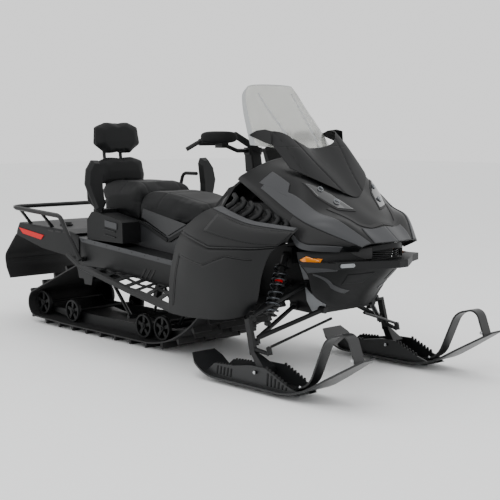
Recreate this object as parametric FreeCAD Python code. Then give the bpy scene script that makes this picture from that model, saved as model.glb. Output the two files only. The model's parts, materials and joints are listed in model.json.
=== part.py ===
import FreeCAD, Part
import math
import os

# Snowmobile for two on one wide track, with a touring seat, a cargo rack and two steered skis.
# Millimetres. +X points to the nose, +Y to the rider's left, +Z up, and Z = 0 is the floor.
# The origin is under the middle of the whole machine. Right-hand pieces are made and mirrored.

# Track and its wheels, seen from the side as (x, z)
TRACK_WIDTH = 610.0
BELT_THICK = 8.0
LUG_HEIGHT = 32.0
LUG_BASE = 28.0
LUG_TIP = 12.0
LUG_ROWS = 54
LUG_SINK = 3.0
REAR_IDLER_X = -1250.0
REAR_IDLER_Z = 126.0
REAR_IDLER_R = 77.0
BOGIE_R = 70.0
BOGIE_X = (-930.0, -227.0, -62.0)
SLIDE_CURVE_R = 652.0
SLIDE_REACH = 0.76
DRIVE_X = 335.0
SLIDE_END_X = DRIVE_X - SLIDE_REACH * SLIDE_CURVE_R
DRIVE_Z = 375.0
DRIVE_R = 87.0
TOP_IDLER_X = -735.0
TOP_IDLER_Z = 362.0
TOP_IDLER_R = 60.0
WHEEL_WIDTH = 24.0
WHEEL_SIDES = 11
TUBE_SIDES = 6
BAR_SIDES = 6
FIT_SIDES = 8
BEND_STEP = 0.9
WHEEL_Y = TRACK_WIDTH / 2 - 65
RIM_THICK = 9.0
HUB_R = 20.0
HUB_WIDTH = 36.0
WHEEL_BORE_R = 10.2
AXLE_R = 10.0
SPOKES = 5
ROLL_GAP = 0.3
RAIL_Y = TRACK_WIDTH / 2 - 105
RAIL_THICK = 14.0
RAIL_HEIGHT = 62.0

# Tunnel, the folded sheet body over the track
TRACK_SIDE_GAP = 25.0
TUNNEL_HALF = TRACK_WIDTH / 2 + TRACK_SIDE_GAP
SHEET = 4.0
TUNNEL_REAR_X = -760.0
TUNNEL_FRONT_X = 492.0
TUNNEL_TOP_REAR_Z = 583.0
TUNNEL_TOP_FALL = 0.0737
TUNNEL_HUMP_X = 200.0
TUNNEL_HUMP_Z = 552.0
TUNNEL_SIDE_REAR_Z = 425.0
TUNNEL_SIDE_FRONT_Z = 352.0
DECK_FLOOR_Z = 556.0
DECK_REAR_X = -1400.0
TAIL_END_X = DECK_REAR_X + 25
EDGE_RAIL_HEIGHT = 24.0
EDGE_RAIL_THICK = 9.0

# Running boards
BOARD_WIDTH = 170.0
BOARD_OUT_Y = TUNNEL_HALF + BOARD_WIDTH
BOARD_TUBE_R = 14.0
BOARD_THICK = 5.0
BOARD_HOLE_LONG = 62.0
BOARD_HOLE_WIDE = 52.0
BOARD_HOLE_PITCH = 92.0
BOARD_FRONT_X = 360.0
BOARD_FRONT_Z = 291.0
BOARD_MID_X = -46.0
BOARD_MID_Z = 359.0
BOARD_KICK_X = -473.0
BOARD_KICK_Z = 445.0
BOARD_REAR_X = -592.0
BOARD_REAR_Z = 504.0

# Skis and spindles
SKI_STANCE = 940.0
SKI_WIDTH = 190.0
SKI_BOLT_X = 990.0
SKI_BOLT_Z = 92.0
SKI_TIP_X = 1616.0
SKI_TIP_Z = 232.0
SKI_TAIL_X = 539.0
SKI_TAIL_Z = 112.0
SKI_FLAT_REAR_X = 700.0
SKI_FLAT_FRONT_X = 1190.0
SKI_BASE_Z = 22.0
SKI_THICK = 9.0
KEEL_WIDTH = 46.0
RUNNER_R = 5.0
KEEL_LOW = 10.2
FLANGE_THICK = 8.0
FLANGE_Y = 62.0
LOOP_WIDTH = 62.0
LOOP_THICK = 9.0
CASTER_DEG = 14.0
SPINDLE_X = 905.0
SPINDLE_Z = 214.0
SPINDLE_TOP_Z = 322.0
SPINDLE_Y = 448.0
SPINDLE_R = 21.0
BALL_R = 14.0
BALL_GAP = 0.3
SKI_PIN_R = 8.0
PIN_CLEAR = 0.06
SADDLE_HALF = 38.0

# Front frame and suspension arms
BULKHEAD_HALF = 160.0
BELLY_Z = 372.0
ARM_R = 12.0
LOWER_FRONT_X = 1072.0
LOWER_REAR_X = 886.0
LOWER_PIVOT_Z = 352.0
LOWER_EYE_R = 17.0
UPPER_PIVOT_X = 960.0
UPPER_REAR_X = 850.0
UPPER_PIVOT_Z = 462.0
UPPER_EYE_R = 16.0
SHOCK_TOP = (866.0, 218.0, 604.0)
SHOCK_FOOT = (899.0, 372.0, 288.0)
SHOCK_R = 17.0
SHOCK_EYE_R = 14.0
SPRING_R = 33.0

# Handlebar and its turning axis
STEER_X = 424.0
STEER_BASE_Z = 930.0
STEER_LEAN_DEG = 8.0
BAR_Z = 1102.0
BAR_R = 11.0
GRIP_R = 17.0
GRIP_HALF = 425.0
COLUMN_R = 16.0
COLUMN_CLEAR = 0.06

# Seats and backrest
STORE_WIDTH = 125.0
SEAT_HALF = TUNNEL_HALF - STORE_WIDTH
SEAT_TOP_Z = 860.0
REAR_SEAT_TOP_Z = 908.0
SOFT_GAP = 0.3
PAD_THICK = 72.0
HEAD_X = -770.0
HEAD_LOW_Z = 1056.0
HEAD_TOP_Z = 1256.0
HEAD_HALF = 172.0
LUMBAR_X = -735.0
LUMBAR_LOW_Z = 880.0
LUMBAR_TOP_Z = 1048.0
LUMBAR_HALF = 178.0

# Rear body, rack and flap
DECK_OVERHANG = 6.0
DECK_HALF = TUNNEL_HALF + DECK_OVERHANG
DECK_WALL = 5.0
DECK_TOP_Z = 628.0
DECK_FRONT_X = -720.0
DECK_LIP = 22.0
LID_FALL = 14.0
LID_END_X = -872.0
RACK_HALF = DECK_HALF + 44
RACK_REAR_X = DECK_REAR_X + 12
RACK_R = 14.0
RACK_REAR_Z = 726.0
RACK_BEND_X = -843.0
RACK_BEND_Z = 700.0
FLAP_HALF = TRACK_WIDTH / 2 - 5
FLAP_THICK = 7.0

# Body panels
PANEL_WALL = 6.0
GLASS_THICK = 4.0
BUMPER_HEIGHT = 34.0

V = FreeCAD.Vector
os.makedirs("parts", exist_ok=True)
parts = {}


# Helpers


def keep(name, shape):
    """Store a finished piece under its node name."""
    parts[name] = shape


def polygon(points):
    """A closed wire of straight edges through the points."""
    return Part.makePolygon(points + [points[0]])


def slab_y(outline, y0, y1):
    """A side outline of (x, z) pairs pulled from y0 to y1."""
    wire = polygon([V(x, y0, z) for x, z in outline])
    return Part.Face(wire).extrude(V(0, y1 - y0, 0))


def slab_x(outline, x0, x1):
    """A front outline of (y, z) pairs pulled from x0 to x1."""
    wire = polygon([V(x0, y, z) for y, z in outline])
    return Part.Face(wire).extrude(V(x1 - x0, 0, 0))


def slab_z(outline, z0, z1):
    """A plan outline of (x, y) pairs pulled from z0 to z1."""
    wire = polygon([V(x, y, z0) for x, y in outline])
    return Part.Face(wire).extrude(V(0, 0, z1 - z0))


def box(x0, x1, y0, y1, z0, z1):
    """A plain block between two corners."""
    return Part.makeBox(x1 - x0, y1 - y0, z1 - z0, V(x0, y0, z0))


def rod(a, b, radius):
    """A round bar from point a to point b."""
    a = V(*a)
    b = V(*b)
    return Part.makeCylinder(radius, (b - a).Length, a, b - a)


def ring_of(centre, across, up, radius, sides):
    """A closed wire of equal sides, with its corners on the circle."""
    spots = []
    for i in range(sides):
        turn = 2 * math.pi * (i + 0.5) / sides
        spots.append(centre + across * (radius * math.cos(turn)) + up * (radius * math.sin(turn)))
    return polygon(spots)


def bar(a, b, radius, sides=BAR_SIDES):
    """A bar from point a to point b with many flats, for tubes that carry no fit."""
    return bent_tube([a, b], radius, 0, sides)


def disc_z(x, y, radius, z0, z1, sides=BAR_SIDES):
    """A disc of many flats along Z."""
    face = Part.Face(ring_of(V(x, y, z0), V(1, 0, 0), V(0, 1, 0), radius, sides))
    return face.extrude(V(0, 0, z1 - z0))


def disc_y(x, z, radius, y0, y1, sides=WHEEL_SIDES):
    """A disc of many flats along Y."""
    face = Part.Face(ring_of(V(x, y0, z), V(1, 0, 0), V(0, 0, 1), radius, sides))
    return face.extrude(V(0, y1 - y0, 0))


def bend_points(points, bend):
    """Corners of a path, with each inner corner replaced by points along its tangent arc."""
    corners = [V(*p) for p in points]
    path = [corners[0]]
    for i in range(1, len(corners) - 1):
        corner = corners[i]
        back = (corners[i - 1] - corner).normalize()
        ahead = (corners[i + 1] - corner).normalize()
        half = back.getAngle(ahead) / 2
        turn = math.pi - 2 * half
        reach = bend / math.tan(half)
        centre = corner + (back + ahead).normalize() * (bend / math.sin(half))
        start = corner + back * reach - centre
        axis = back.cross(ahead)
        steps = max(2, int(math.ceil(turn / BEND_STEP)))
        for k in range(steps + 1):
            spin = FreeCAD.Rotation(axis, -math.degrees(turn) * k / steps)
            path.append(centre + spin.multVec(start))
    path.append(corners[-1])
    return path


def bent_tube(points, radius, bend, sides=TUBE_SIDES):
    """A tube of many flats along straight runs joined by tangent arcs of one bend radius."""
    path = bend_points(points, bend)
    ahead = (path[1] - path[0]).normalize()
    side = ahead.cross(V(0, 0, 1))
    if side.Length < 0.2:
        side = ahead.cross(V(0, 1, 0))
    side.normalize()
    rings = []
    for i, centre in enumerate(path):
        before = (centre - path[max(i - 1, 0)]) if i else ahead
        after = (path[min(i + 1, len(path) - 1)] - centre) if i < len(path) - 1 else before
        along = (V(before).normalize() + V(after).normalize()).normalize()
        side = (side - along * side.dot(along)).normalize()
        rings.append(ring_of(centre, side, along.cross(side), radius, sides))
    return Part.makeLoft(rings, True, True)


def strap(points, bends, thick, y0, y1):
    """A flat band of even thickness along a side path of (x, z) corners rounded by arcs."""
    low = []
    high = []
    spots = [V(x, y0, z) for x, z in points]
    count = len(spots)

    def left(a, b):
        way = (b - a).normalize()
        return V(-way.z, 0, way.x) * thick

    at = spots[0]
    for i in range(1, count - 1):
        corner = spots[i]
        back = (spots[i - 1] - corner).normalize()
        ahead = (spots[i + 1] - corner).normalize()
        half = back.getAngle(ahead) / 2
        bend = bends[i - 1]
        centre = corner + (back + ahead).normalize() * (bend / math.sin(half))
        enter = corner + back * (bend / math.tan(half))
        leave = corner + ahead * (bend / math.tan(half))
        middle = centre + (corner - centre).normalize() * bend
        before = left(spots[i - 1], corner)
        after = left(corner, spots[i + 1])
        inside = 1 if (centre - enter).dot(before) > 0 else -1
        top_middle = centre + (middle - centre) * ((bend - inside * thick) / bend)
        low.append(Part.LineSegment(at, enter).toShape())
        low.append(Part.Arc(enter, middle, leave).toShape())
        high.append(Part.LineSegment(at + before, enter + before).toShape())
        high.append(Part.Arc(enter + before, top_middle, leave + after).toShape())
        at = leave
    last = left(spots[-2], spots[-1])
    first = left(spots[0], spots[1])
    low.append(Part.LineSegment(at, spots[-1]).toShape())
    high.append(Part.LineSegment(at + last, spots[-1] + last).toShape())
    ends = [
        Part.LineSegment(spots[-1], spots[-1] + last).toShape(),
        Part.LineSegment(spots[0] + first, spots[0]).toShape(),
    ]
    wire = Part.Wire(Part.__sortEdges__(low + high + ends))
    return Part.Face(wire).extrude(V(0, y1 - y0, 0))


def triangle(a, b, c):
    """A flat three-sided face."""
    return Part.Face(polygon([a, b, c]))


def skin(rows, shift):
    """A creased sheet through a grid of points, as thick as the shift, in flat panels."""
    move = V(*shift)
    corner = V(*rows[0][0])
    if (V(*rows[0][1]) - corner).cross(V(*rows[1][1]) - corner).dot(move) > 0:
        rows = list(reversed(rows))
    top = [[V(*p) for p in row] for row in rows]
    low = [[p + move for p in row] for row in top]
    faces = []
    for grid in (top, low):
        for i in range(len(grid) - 1):
            for j in range(len(grid[0]) - 1):
                a, b = grid[i][j], grid[i][j + 1]
                c, d = grid[i + 1][j + 1], grid[i + 1][j]
                if (a + c).y > 0:
                    faces += [triangle(a, b, d), triangle(b, c, d)]
                else:
                    faces += [triangle(a, b, c), triangle(a, c, d)]
    rim = list(top[0]) + [row[-1] for row in top[1:]]
    rim += list(reversed(top[-1][:-1])) + [row[0] for row in reversed(top[1:-1])]
    for i, p in enumerate(rim):
        q = rim[(i + 1) % len(rim)]
        faces.append(Part.Face(polygon([p, q, q + move, p + move])))
    shell = Part.makeShell(faces)
    shell.sewShape()
    return Part.makeSolid(shell)


def both_halves(rows):
    """Rows that start on the centre line, with their mirror image put before them."""
    full = []
    for row in rows:
        left = [(x, -y, z) for x, y, z in reversed(row[1:])]
        full.append(left + row)
    return full


def lofted(sections):
    """A solid with flat facets through closed sections that have the same number of points."""
    rings = [[V(*p) for p in section] for section in sections]
    turn = (rings[0][1] - rings[0][0]).cross(rings[0][2] - rings[0][1])
    if turn.dot(rings[1][0] - rings[0][0]) > 0:
        rings = [list(reversed(ring)) for ring in rings]
    faces = [Part.Face(polygon(rings[0])), Part.Face(polygon(rings[-1]))]
    for near, far in zip(rings, rings[1:]):
        for i in range(len(near)):
            j = (i + 1) % len(near)
            faces.append(triangle(near[i], near[j], far[j]))
            faces.append(triangle(near[i], far[j], far[i]))
    shell = Part.makeShell(faces)
    shell.sewShape()
    return Part.makeSolid(shell)


def mirrored(shape):
    """The same piece on the other side of the machine."""
    return shape.mirror(V(0, 0, 0), V(0, 1, 0))


def keep_pair(name, right):
    """Store a right-hand piece and its left-hand mirror image as two nodes."""
    keep("right_" + name, right)
    keep("left_" + name, mirrored(right))


def twice(shape):
    """A right-hand piece and its mirror image, as two solids of one node."""
    return Part.makeCompound([shape, mirrored(shape)])


def fitted(shape, others):
    """What is left of a piece, in one solid, where other pieces take its place."""
    return max(shape.cut(others).Solids, key=lambda body: body.Volume)


def eased(shape, radius, choose):
    """Round the edges that a test picks."""
    edges = [e for e in shape.Edges if choose(e)]
    return shape.makeFillet(radius, edges) if edges else shape


# Track: a belt round its wheels, with three and four lugs across by turns


def loop_runs(circles):
    """Tangent lines and arcs round the outside of circles (x, z, r), bottom first."""
    count = len(circles)
    normals = []
    for i in range(count):
        xa, za, ra = circles[i]
        xb, zb, rb = circles[(i + 1) % count]
        apart = math.hypot(xb - xa, zb - za)
        heading = math.atan2(zb - za, xb - xa)
        normals.append(heading - math.acos((ra - rb) / apart))
    runs = []
    for i in range(count):
        x, z, r = circles[i]
        enter = normals[i - 1]
        leave = normals[i]
        while leave < enter:
            leave += 2 * math.pi
        runs.append(("arc", (x, z, r), enter, leave))
        xb, zb, rb = circles[(i + 1) % count]
        p = (x + r * math.cos(leave), z + r * math.sin(leave))
        q = (xb + rb * math.cos(leave), zb + rb * math.sin(leave))
        runs.append(("line", p, q, leave))
    return runs


def run_length(run):
    """Length of one line or arc of the loop."""
    if run[0] == "arc":
        return run[1][2] * (run[3] - run[2])
    return math.hypot(run[2][0] - run[1][0], run[2][1] - run[1][1])


def loop_place(runs, along):
    """The point (x, z) and outward angle at a distance along the loop."""
    for run in runs:
        length = run_length(run)
        if along <= length:
            share = along / length
            if run[0] == "arc":
                x, z, r = run[1]
                angle = run[2] + share * (run[3] - run[2])
                return x + r * math.cos(angle), z + r * math.sin(angle), angle
            (xa, za), (xb, zb) = run[1], run[2]
            return xa + share * (xb - xa), za + share * (zb - za), run[3]
        along -= length
    return loop_place(runs, 0.0)


def loop_slab(runs, y0, y1):
    """The loop's whole inside as a solid between two widths."""
    edges = []
    for run in runs:
        if run_length(run) < 0.001:
            continue
        if run[0] == "arc":
            x, z, r = run[1]
            spots = [run[2], (run[2] + run[3]) / 2, run[3]]
            a, m, b = [V(x + r * math.cos(t), y0, z + r * math.sin(t)) for t in spots]
            edges.append(Part.Arc(a, m, b).toShape())
        else:
            a = V(run[1][0], y0, run[1][1])
            b = V(run[2][0], y0, run[2][1])
            edges.append(Part.LineSegment(a, b).toShape())
    return Part.Face(Part.Wire(edges)).extrude(V(0, y1 - y0, 0))


BELT_FLOOR_Z = LUG_HEIGHT
BOGIE_Z = BELT_FLOOR_Z + BELT_THICK + BOGIE_R
SLIDE_CURVE_Z = BELT_FLOOR_Z + BELT_THICK + SLIDE_CURVE_R


def loop_circles(extra):
    """The circles that the track runs round, each grown by an extra radius."""
    return [
        (REAR_IDLER_X, REAR_IDLER_Z, REAR_IDLER_R + extra),
        (BOGIE_X[0], BOGIE_Z, BOGIE_R + extra),
        (SLIDE_END_X, SLIDE_CURVE_Z, SLIDE_CURVE_R + extra),
        (DRIVE_X, DRIVE_Z, DRIVE_R + extra),
        (TOP_IDLER_X, TOP_IDLER_Z, TOP_IDLER_R + extra),
    ]


def track():
    """The rubber belt with its lugs, one solid."""
    inner = loop_runs(loop_circles(0.0))
    outer = loop_runs(loop_circles(BELT_THICK))
    half = TRACK_WIDTH / 2
    belt = loop_slab(outer, -half, half).cut(loop_slab(inner, -half - 1, half + 1))
    total = sum(run_length(run) for run in outer)
    wide = [(-0.94, -0.52), (-0.32, 0.32), (0.52, 0.94)]
    narrow = [(-0.74, -0.12), (0.12, 0.74)]
    lugs = []
    for row in range(LUG_ROWS):
        x, z, angle = loop_place(outer, total * (row + 0.5) / LUG_ROWS)
        out = (math.cos(angle), math.sin(angle))
        side = (-out[1], out[0])
        spots = [(-LUG_BASE / 2, -LUG_SINK), (LUG_BASE / 2, -LUG_SINK)]
        spots += [(LUG_TIP / 2, LUG_HEIGHT), (-LUG_TIP / 2, LUG_HEIGHT)]
        outline = [(x + s * side[0] + h * out[0], z + s * side[1] + h * out[1]) for s, h in spots]
        for a, b in narrow if row % 2 else wide:
            lugs.append(slab_y(outline, a * half, b * half))
    return belt.multiFuse(lugs)


def wheel_set(x, z, radius):
    """Two spoked wheels on one axle, between and outside the slide rails."""
    reach = WHEEL_Y + WHEEL_WIDTH / 2 + 8
    body = disc_y(x, z, AXLE_R, -reach, reach, BAR_SIDES)
    rim = radius - RIM_THICK
    for side in (-1, 1):
        y0 = side * WHEEL_Y - WHEEL_WIDTH / 2
        y1 = y0 + WHEEL_WIDTH
        tyre = disc_y(x, z, radius, y0, y1)
        if side < 0:
            dish = disc_y(x, z, rim, y0 - 1, y0 + WHEEL_WIDTH * 0.55)
        else:
            dish = disc_y(x, z, rim, y1 - WHEEL_WIDTH * 0.55, y1 + 1)
        hub = disc_y(x, z, HUB_R, y0 - 2, y1 + 2, 6)
        tyre = tyre.cut(dish).fuse(hub)
        for i in range(SPOKES):
            wide = math.pi / SPOKES - 0.16
            turn = 2 * math.pi * (i + 0.25) / SPOKES
            spots = [(HUB_R + 3, -wide * 0.7), (rim - 4, -wide), (rim - 4, wide), (HUB_R + 3, wide * 0.7)]
            window = [(x + r * math.cos(turn + t), z + r * math.sin(turn + t)) for r, t in spots]
            tyre = tyre.cut(slab_y(window, y0 - 2, y1 + 2))
        body = body.fuse(tyre)
    return body


def wheel_z(x):
    """Height of a road wheel's axle, raised where the belt already curves up."""
    over = max(0.0, x - SLIDE_END_X)
    return SLIDE_CURVE_Z - math.sqrt((SLIDE_CURVE_R - BOGIE_R) ** 2 - over ** 2)


keep("track", track())

RAIL_BASE_Z = BELT_FLOOR_Z + BELT_THICK + ROLL_GAP


def slide_rail():
    """One slide rail: straight over the ground run, curved up at its nose."""
    curve = SLIDE_CURVE_R - ROLL_GAP
    low = []
    high = []
    steps = 6
    for i in range(steps + 1):
        turn = math.radians(30.0 * i / steps)
        low.append((SLIDE_END_X + curve * math.sin(turn), SLIDE_CURVE_Z - curve * math.cos(turn)))
        deep = curve - RAIL_HEIGHT * (1 - 0.5 * i / steps)
        high.append((SLIDE_END_X + deep * math.sin(turn), SLIDE_CURVE_Z - deep * math.cos(turn)))
    rear = [
        (REAR_IDLER_X + 40, RAIL_BASE_Z + RAIL_HEIGHT), (REAR_IDLER_X - 28, REAR_IDLER_Z + 22),
        (REAR_IDLER_X - 28, REAR_IDLER_Z - 22), (REAR_IDLER_X + 60, REAR_IDLER_Z - 50),
        (BOGIE_X[0], RAIL_BASE_Z),
    ]
    outline = rear + low + list(reversed(high))
    rail = slab_y(outline, -RAIL_Y - RAIL_THICK / 2, -RAIL_Y + RAIL_THICK / 2)
    for x in (REAR_IDLER_X,) + BOGIE_X:
        z = REAR_IDLER_Z if x == REAR_IDLER_X else wheel_z(x)
        if z < RAIL_BASE_Z + RAIL_HEIGHT + 20:
            boss = disc_y(x, z, AXLE_R + 9, -RAIL_Y - RAIL_THICK / 2, -RAIL_Y + RAIL_THICK / 2, BAR_SIDES)
            rail = rail.fuse(boss)
        rail = rail.cut(disc_y(x, z, AXLE_R + ROLL_GAP, -RAIL_Y - 20, -RAIL_Y + 20, BAR_SIDES))
    return rail


keep("slide_rails", twice(slide_rail()))

wheels = [wheel_set(x, wheel_z(x), BOGIE_R - ROLL_GAP) for x in BOGIE_X]
keep("bogie_wheels", Part.makeCompound(wheels))
keep("rear_idlers", wheel_set(REAR_IDLER_X, REAR_IDLER_Z, REAR_IDLER_R - ROLL_GAP))

INNER_HALF = TUNNEL_HALF - SHEET


def carried_axle(x, z, radius, reach):
    """A plain axle between the tunnel's two side walls."""
    return disc_y(x, z, radius, -reach, reach, BAR_SIDES + 2)


def sprocket(y):
    """A drive sprocket: a disc with square teeth that drive the belt's windows."""
    body = disc_y(DRIVE_X, DRIVE_Z, DRIVE_R - 12, y - 9, y + 9)
    teeth = 9
    for i in range(teeth):
        turn = 360.0 * i / teeth
        tooth = box(DRIVE_X - 7, DRIVE_X + 7, y - 9, y + 9, DRIVE_Z + DRIVE_R - 20, DRIVE_Z + DRIVE_R - 1)
        tooth.rotate(V(DRIVE_X, 0, DRIVE_Z), V(0, 1, 0), turn)
        body = body.fuse(tooth)
    return body


drive = carried_axle(DRIVE_X, DRIVE_Z, 16, INNER_HALF - ROLL_GAP)
for y in (-150.0, 150.0):
    drive = drive.fuse(sprocket(y))
keep("drive_axle", drive)

top_axle = carried_axle(TOP_IDLER_X, TOP_IDLER_Z, AXLE_R, INNER_HALF - ROLL_GAP)
for y in (-WHEEL_Y, WHEEL_Y):
    roller = disc_y(TOP_IDLER_X, TOP_IDLER_Z, TOP_IDLER_R - ROLL_GAP, y - 12, y + 12)
    top_axle = top_axle.fuse(roller)
keep("top_rollers", top_axle)

# Suspension arms inside the track loop
REAR_SHAFT_X = -640.0
REAR_SHAFT_Z = 335.0
REAR_FOOT_X = -440.0
FRONT_SHAFT_X = 176.0
FRONT_SHAFT_Z = 392.0
FRONT_FOOT_X = -10.0
ARM_FOOT_Z = 128.0
LEG_Y = RAIL_Y - 28
LEG_R = 11.0


def slide_arm(shaft_x, shaft_z, foot_x):
    """A welded arm: a cross shaft at the tunnel, two legs and a foot shaft at the rails."""
    arm = carried_axle(shaft_x, shaft_z, 15, INNER_HALF - ROLL_GAP)
    half = RAIL_Y - RAIL_THICK / 2 - ROLL_GAP
    foot = disc_y(foot_x, ARM_FOOT_Z, 13, -half, half, BAR_SIDES)
    arm = arm.fuse(foot)
    for y in (-LEG_Y, LEG_Y):
        arm = arm.fuse(bar((shaft_x, y, shaft_z), (foot_x, y, ARM_FOOT_Z), LEG_R))
    return arm


keep("rear_slide_arm", slide_arm(REAR_SHAFT_X, REAR_SHAFT_Z, REAR_FOOT_X))
keep("front_slide_arm", slide_arm(FRONT_SHAFT_X, FRONT_SHAFT_Z, FRONT_FOOT_X))


def slide_shock(top, foot):
    """A damper with its spring, in the middle of the track loop."""
    top = V(*top)
    foot = V(*foot)
    spots = [top + (foot - top) * share for share in (0.0, 0.2, 0.75, 1.0)]
    shaft = bar(spots[0], spots[3], 9)
    spring = bar(spots[1], spots[2], 30)
    return shaft.fuse(spring)


front_one = slide_shock((60.0, 0.0, 395.0), (FRONT_FOOT_X, 0.0, ARM_FOOT_Z))
rear_one = slide_shock((-350.0, 0.0, 400.0), (REAR_FOOT_X, 0.0, ARM_FOOT_Z))
front_one = fitted(front_one, [parts["front_slide_arm"]])
rear_one = fitted(rear_one, [parts["rear_slide_arm"]])
keep("slide_shocks", Part.makeCompound([front_one, rear_one]))

# Tunnel


def tunnel_top(x):
    """Height of the tunnel's top sheet."""
    return TUNNEL_TOP_REAR_Z - TUNNEL_TOP_FALL * (x - TUNNEL_REAR_X)


def tunnel_side(x):
    """Height of the tunnel's lower side edge."""
    share = (x - TUNNEL_REAR_X) / (TUNNEL_FRONT_X - TUNNEL_REAR_X)
    return TUNNEL_SIDE_REAR_Z + share * (TUNNEL_SIDE_FRONT_Z - TUNNEL_SIDE_REAR_Z)


def tunnel_outline(t):
    """Side outline of the tunnel, drawn in by a wall t."""
    return [
        (TUNNEL_REAR_X + 40 - (60 if t else 0), tunnel_side(TUNNEL_REAR_X) - (99 if t else 0)),
        (TUNNEL_REAR_X - (60 if t else 0), tunnel_top(TUNNEL_REAR_X) - t),
        (TUNNEL_HUMP_X - 60, tunnel_top(TUNNEL_HUMP_X - 60) - t),
        (TUNNEL_HUMP_X, TUNNEL_HUMP_Z - t),
        (TUNNEL_FRONT_X - t, TUNNEL_HUMP_Z - t),
        (TUNNEL_FRONT_X - t, TUNNEL_SIDE_FRONT_Z - (99 if t else 0)),
    ]


def hanger(x, z, drop):
    """A bracket plate below the tunnel side that carries a suspension shaft."""
    top = tunnel_side(x) + 30
    outline = [(x - 70, top), (x + 70, top), (x + 34, z - drop), (x - 34, z - drop)]
    return slab_y(outline, -TUNNEL_HALF, -INNER_HALF)


def tunnel():
    """A folded sheet body, open below, with brackets for the suspension shafts."""
    shell = slab_y(tunnel_outline(0.0), -TUNNEL_HALF, TUNNEL_HALF)
    shell = shell.cut(slab_y(tunnel_outline(SHEET), -INNER_HALF, INNER_HALF))
    rear = hanger(REAR_SHAFT_X, REAR_SHAFT_Z, 26)
    top = hanger(TOP_IDLER_X + 40, TOP_IDLER_Z, 22)
    shell = shell.fuse([rear, mirrored(rear), top, mirrored(top)])
    tail = slab_y([
        (TUNNEL_REAR_X - 0, DECK_FLOOR_Z), (TUNNEL_REAR_X - 0, DECK_FLOOR_Z + SHEET),
        (TAIL_END_X, DECK_FLOOR_Z + SHEET), (TAIL_END_X, DECK_FLOOR_Z)], 8 - INNER_HALF, INNER_HALF - 8)
    lip = box(TUNNEL_REAR_X, TUNNEL_REAR_X + SHEET, -INNER_HALF, INNER_HALF, DECK_FLOOR_Z, tunnel_top(TUNNEL_REAR_X) - 1)
    return shell.fuse([tail, lip])


keep("tunnel", tunnel())


def edge_rail():
    """The light folded rail along one top edge of the tunnel."""
    x0 = -712.0
    x1 = 168.0
    outline = [
        (x0, tunnel_top(x0) + 2), (x1, tunnel_top(x1) + 2),
        (x1, tunnel_top(x1) - EDGE_RAIL_HEIGHT), (x0 + 22, tunnel_top(x0) - EDGE_RAIL_HEIGHT),
    ]
    return slab_y(outline, -TUNNEL_HALF - EDGE_RAIL_THICK, -TUNNEL_HALF)


keep("edge_rails", twice(edge_rail()))

# Running boards
BOARD_IN_Y = TUNNEL_HALF + SOFT_GAP


def running_board():
    """A perforated plate between the tunnel and a bent edge tube."""
    tube = bent_tube([
        (BOARD_REAR_X, -BOARD_OUT_Y, BOARD_REAR_Z), (BOARD_KICK_X, -BOARD_OUT_Y, BOARD_KICK_Z),
        (BOARD_MID_X, -BOARD_OUT_Y, BOARD_MID_Z), (BOARD_FRONT_X, -BOARD_OUT_Y, BOARD_FRONT_Z)],
        BOARD_TUBE_R, 80)
    xs = [BOARD_KICK_X - 12, BOARD_MID_X, BOARD_FRONT_X]
    out_z = [BOARD_KICK_Z + 6, BOARD_MID_Z, BOARD_FRONT_Z]
    in_z = [tunnel_side(x) + 6 for x in xs]
    inner = [(x, -BOARD_IN_Y, z + BOARD_THICK) for x, z in zip(xs, in_z)]
    outer = [(x, -BOARD_OUT_Y, z + BOARD_THICK) for x, z in zip(xs, out_z)]
    plate = skin([inner, outer], (0, 0, -BOARD_THICK))
    board = tube.fuse(plate)
    holes = []
    count = int((BOARD_FRONT_X - BOARD_KICK_X - 60) / BOARD_HOLE_PITCH)
    for i in range(count):
        x = BOARD_KICK_X + 40 + i * BOARD_HOLE_PITCH
        for y in (-BOARD_IN_Y - 44, -BOARD_IN_Y - 112):
            wide = BOARD_HOLE_WIDE / 2
            holes.append(box(x, x + BOARD_HOLE_LONG, y - wide, y + wide, 200, 600))
    return board.cut(holes)


keep("running_boards", twice(running_board()))

# Seats
BASE_HALF = SEAT_HALF - 4
PASS_REAR_X = -690.0
SPLIT_X = -322.0


def seat_foot(x):
    """Height of the tunnel's top, where the seat base stands."""
    return tunnel_top(x) + SOFT_GAP


SEAT_LOW = [(112.0, 706.0), (-80.0, 626.0), (-250.0, 690.0), (-600.0, 694.0)]
base_outline = [
    (112, seat_foot(112)), SEAT_LOW[0], SEAT_LOW[1], SEAT_LOW[2], SEAT_LOW[3], (PASS_REAR_X + 60, seat_foot(PASS_REAR_X)),
]
keep("seat_base", slab_y(base_outline, -BASE_HALF, BASE_HALF))


def cushion(outline, half, edge):
    """A pad pulled from its side outline, with its long top edges cut back."""
    x_all = [x for x, z in outline]
    z_all = [z for x, z in outline]
    block = slab_y(outline, -half, half)
    top = max(z_all)
    low = min(z_all)
    shape = [
        (-half, low - 1), (half, low - 1), (half, top - edge * 1.6), (half - edge * 0.45, top - edge * 0.5),
        (half - edge * 1.6, top + 1), (-half + edge * 1.6, top + 1), (-half + edge * 0.45, top - edge * 0.5),
        (-half, top - edge * 1.6),
    ]
    return block.common(slab_x(shape, min(x_all) - 1, max(x_all) + 1))


driver_outline = [
    (112, 706.3), (-80, 626.3), (-250, 690.3), (SPLIT_X, 691.3), (SPLIT_X, SEAT_TOP_Z - 2), (-230, SEAT_TOP_Z),
    (-60, 842), (80, 818), (212, 800), (232, 782), (226, 758),
]
keep("seat", cushion(driver_outline, SEAT_HALF, 46))
pass_outline = [
    (SPLIT_X - SOFT_GAP, 691), (SPLIT_X - SOFT_GAP, 872), (-352, 892), (-420, 905), (-560, REAR_SEAT_TOP_Z),
    (-684, REAR_SEAT_TOP_Z - 2), (-700, 860), (-620, 695), (-600, 694.6),
]
keep("passenger_seat", cushion(pass_outline, SEAT_HALF - 4, 40))


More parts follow.
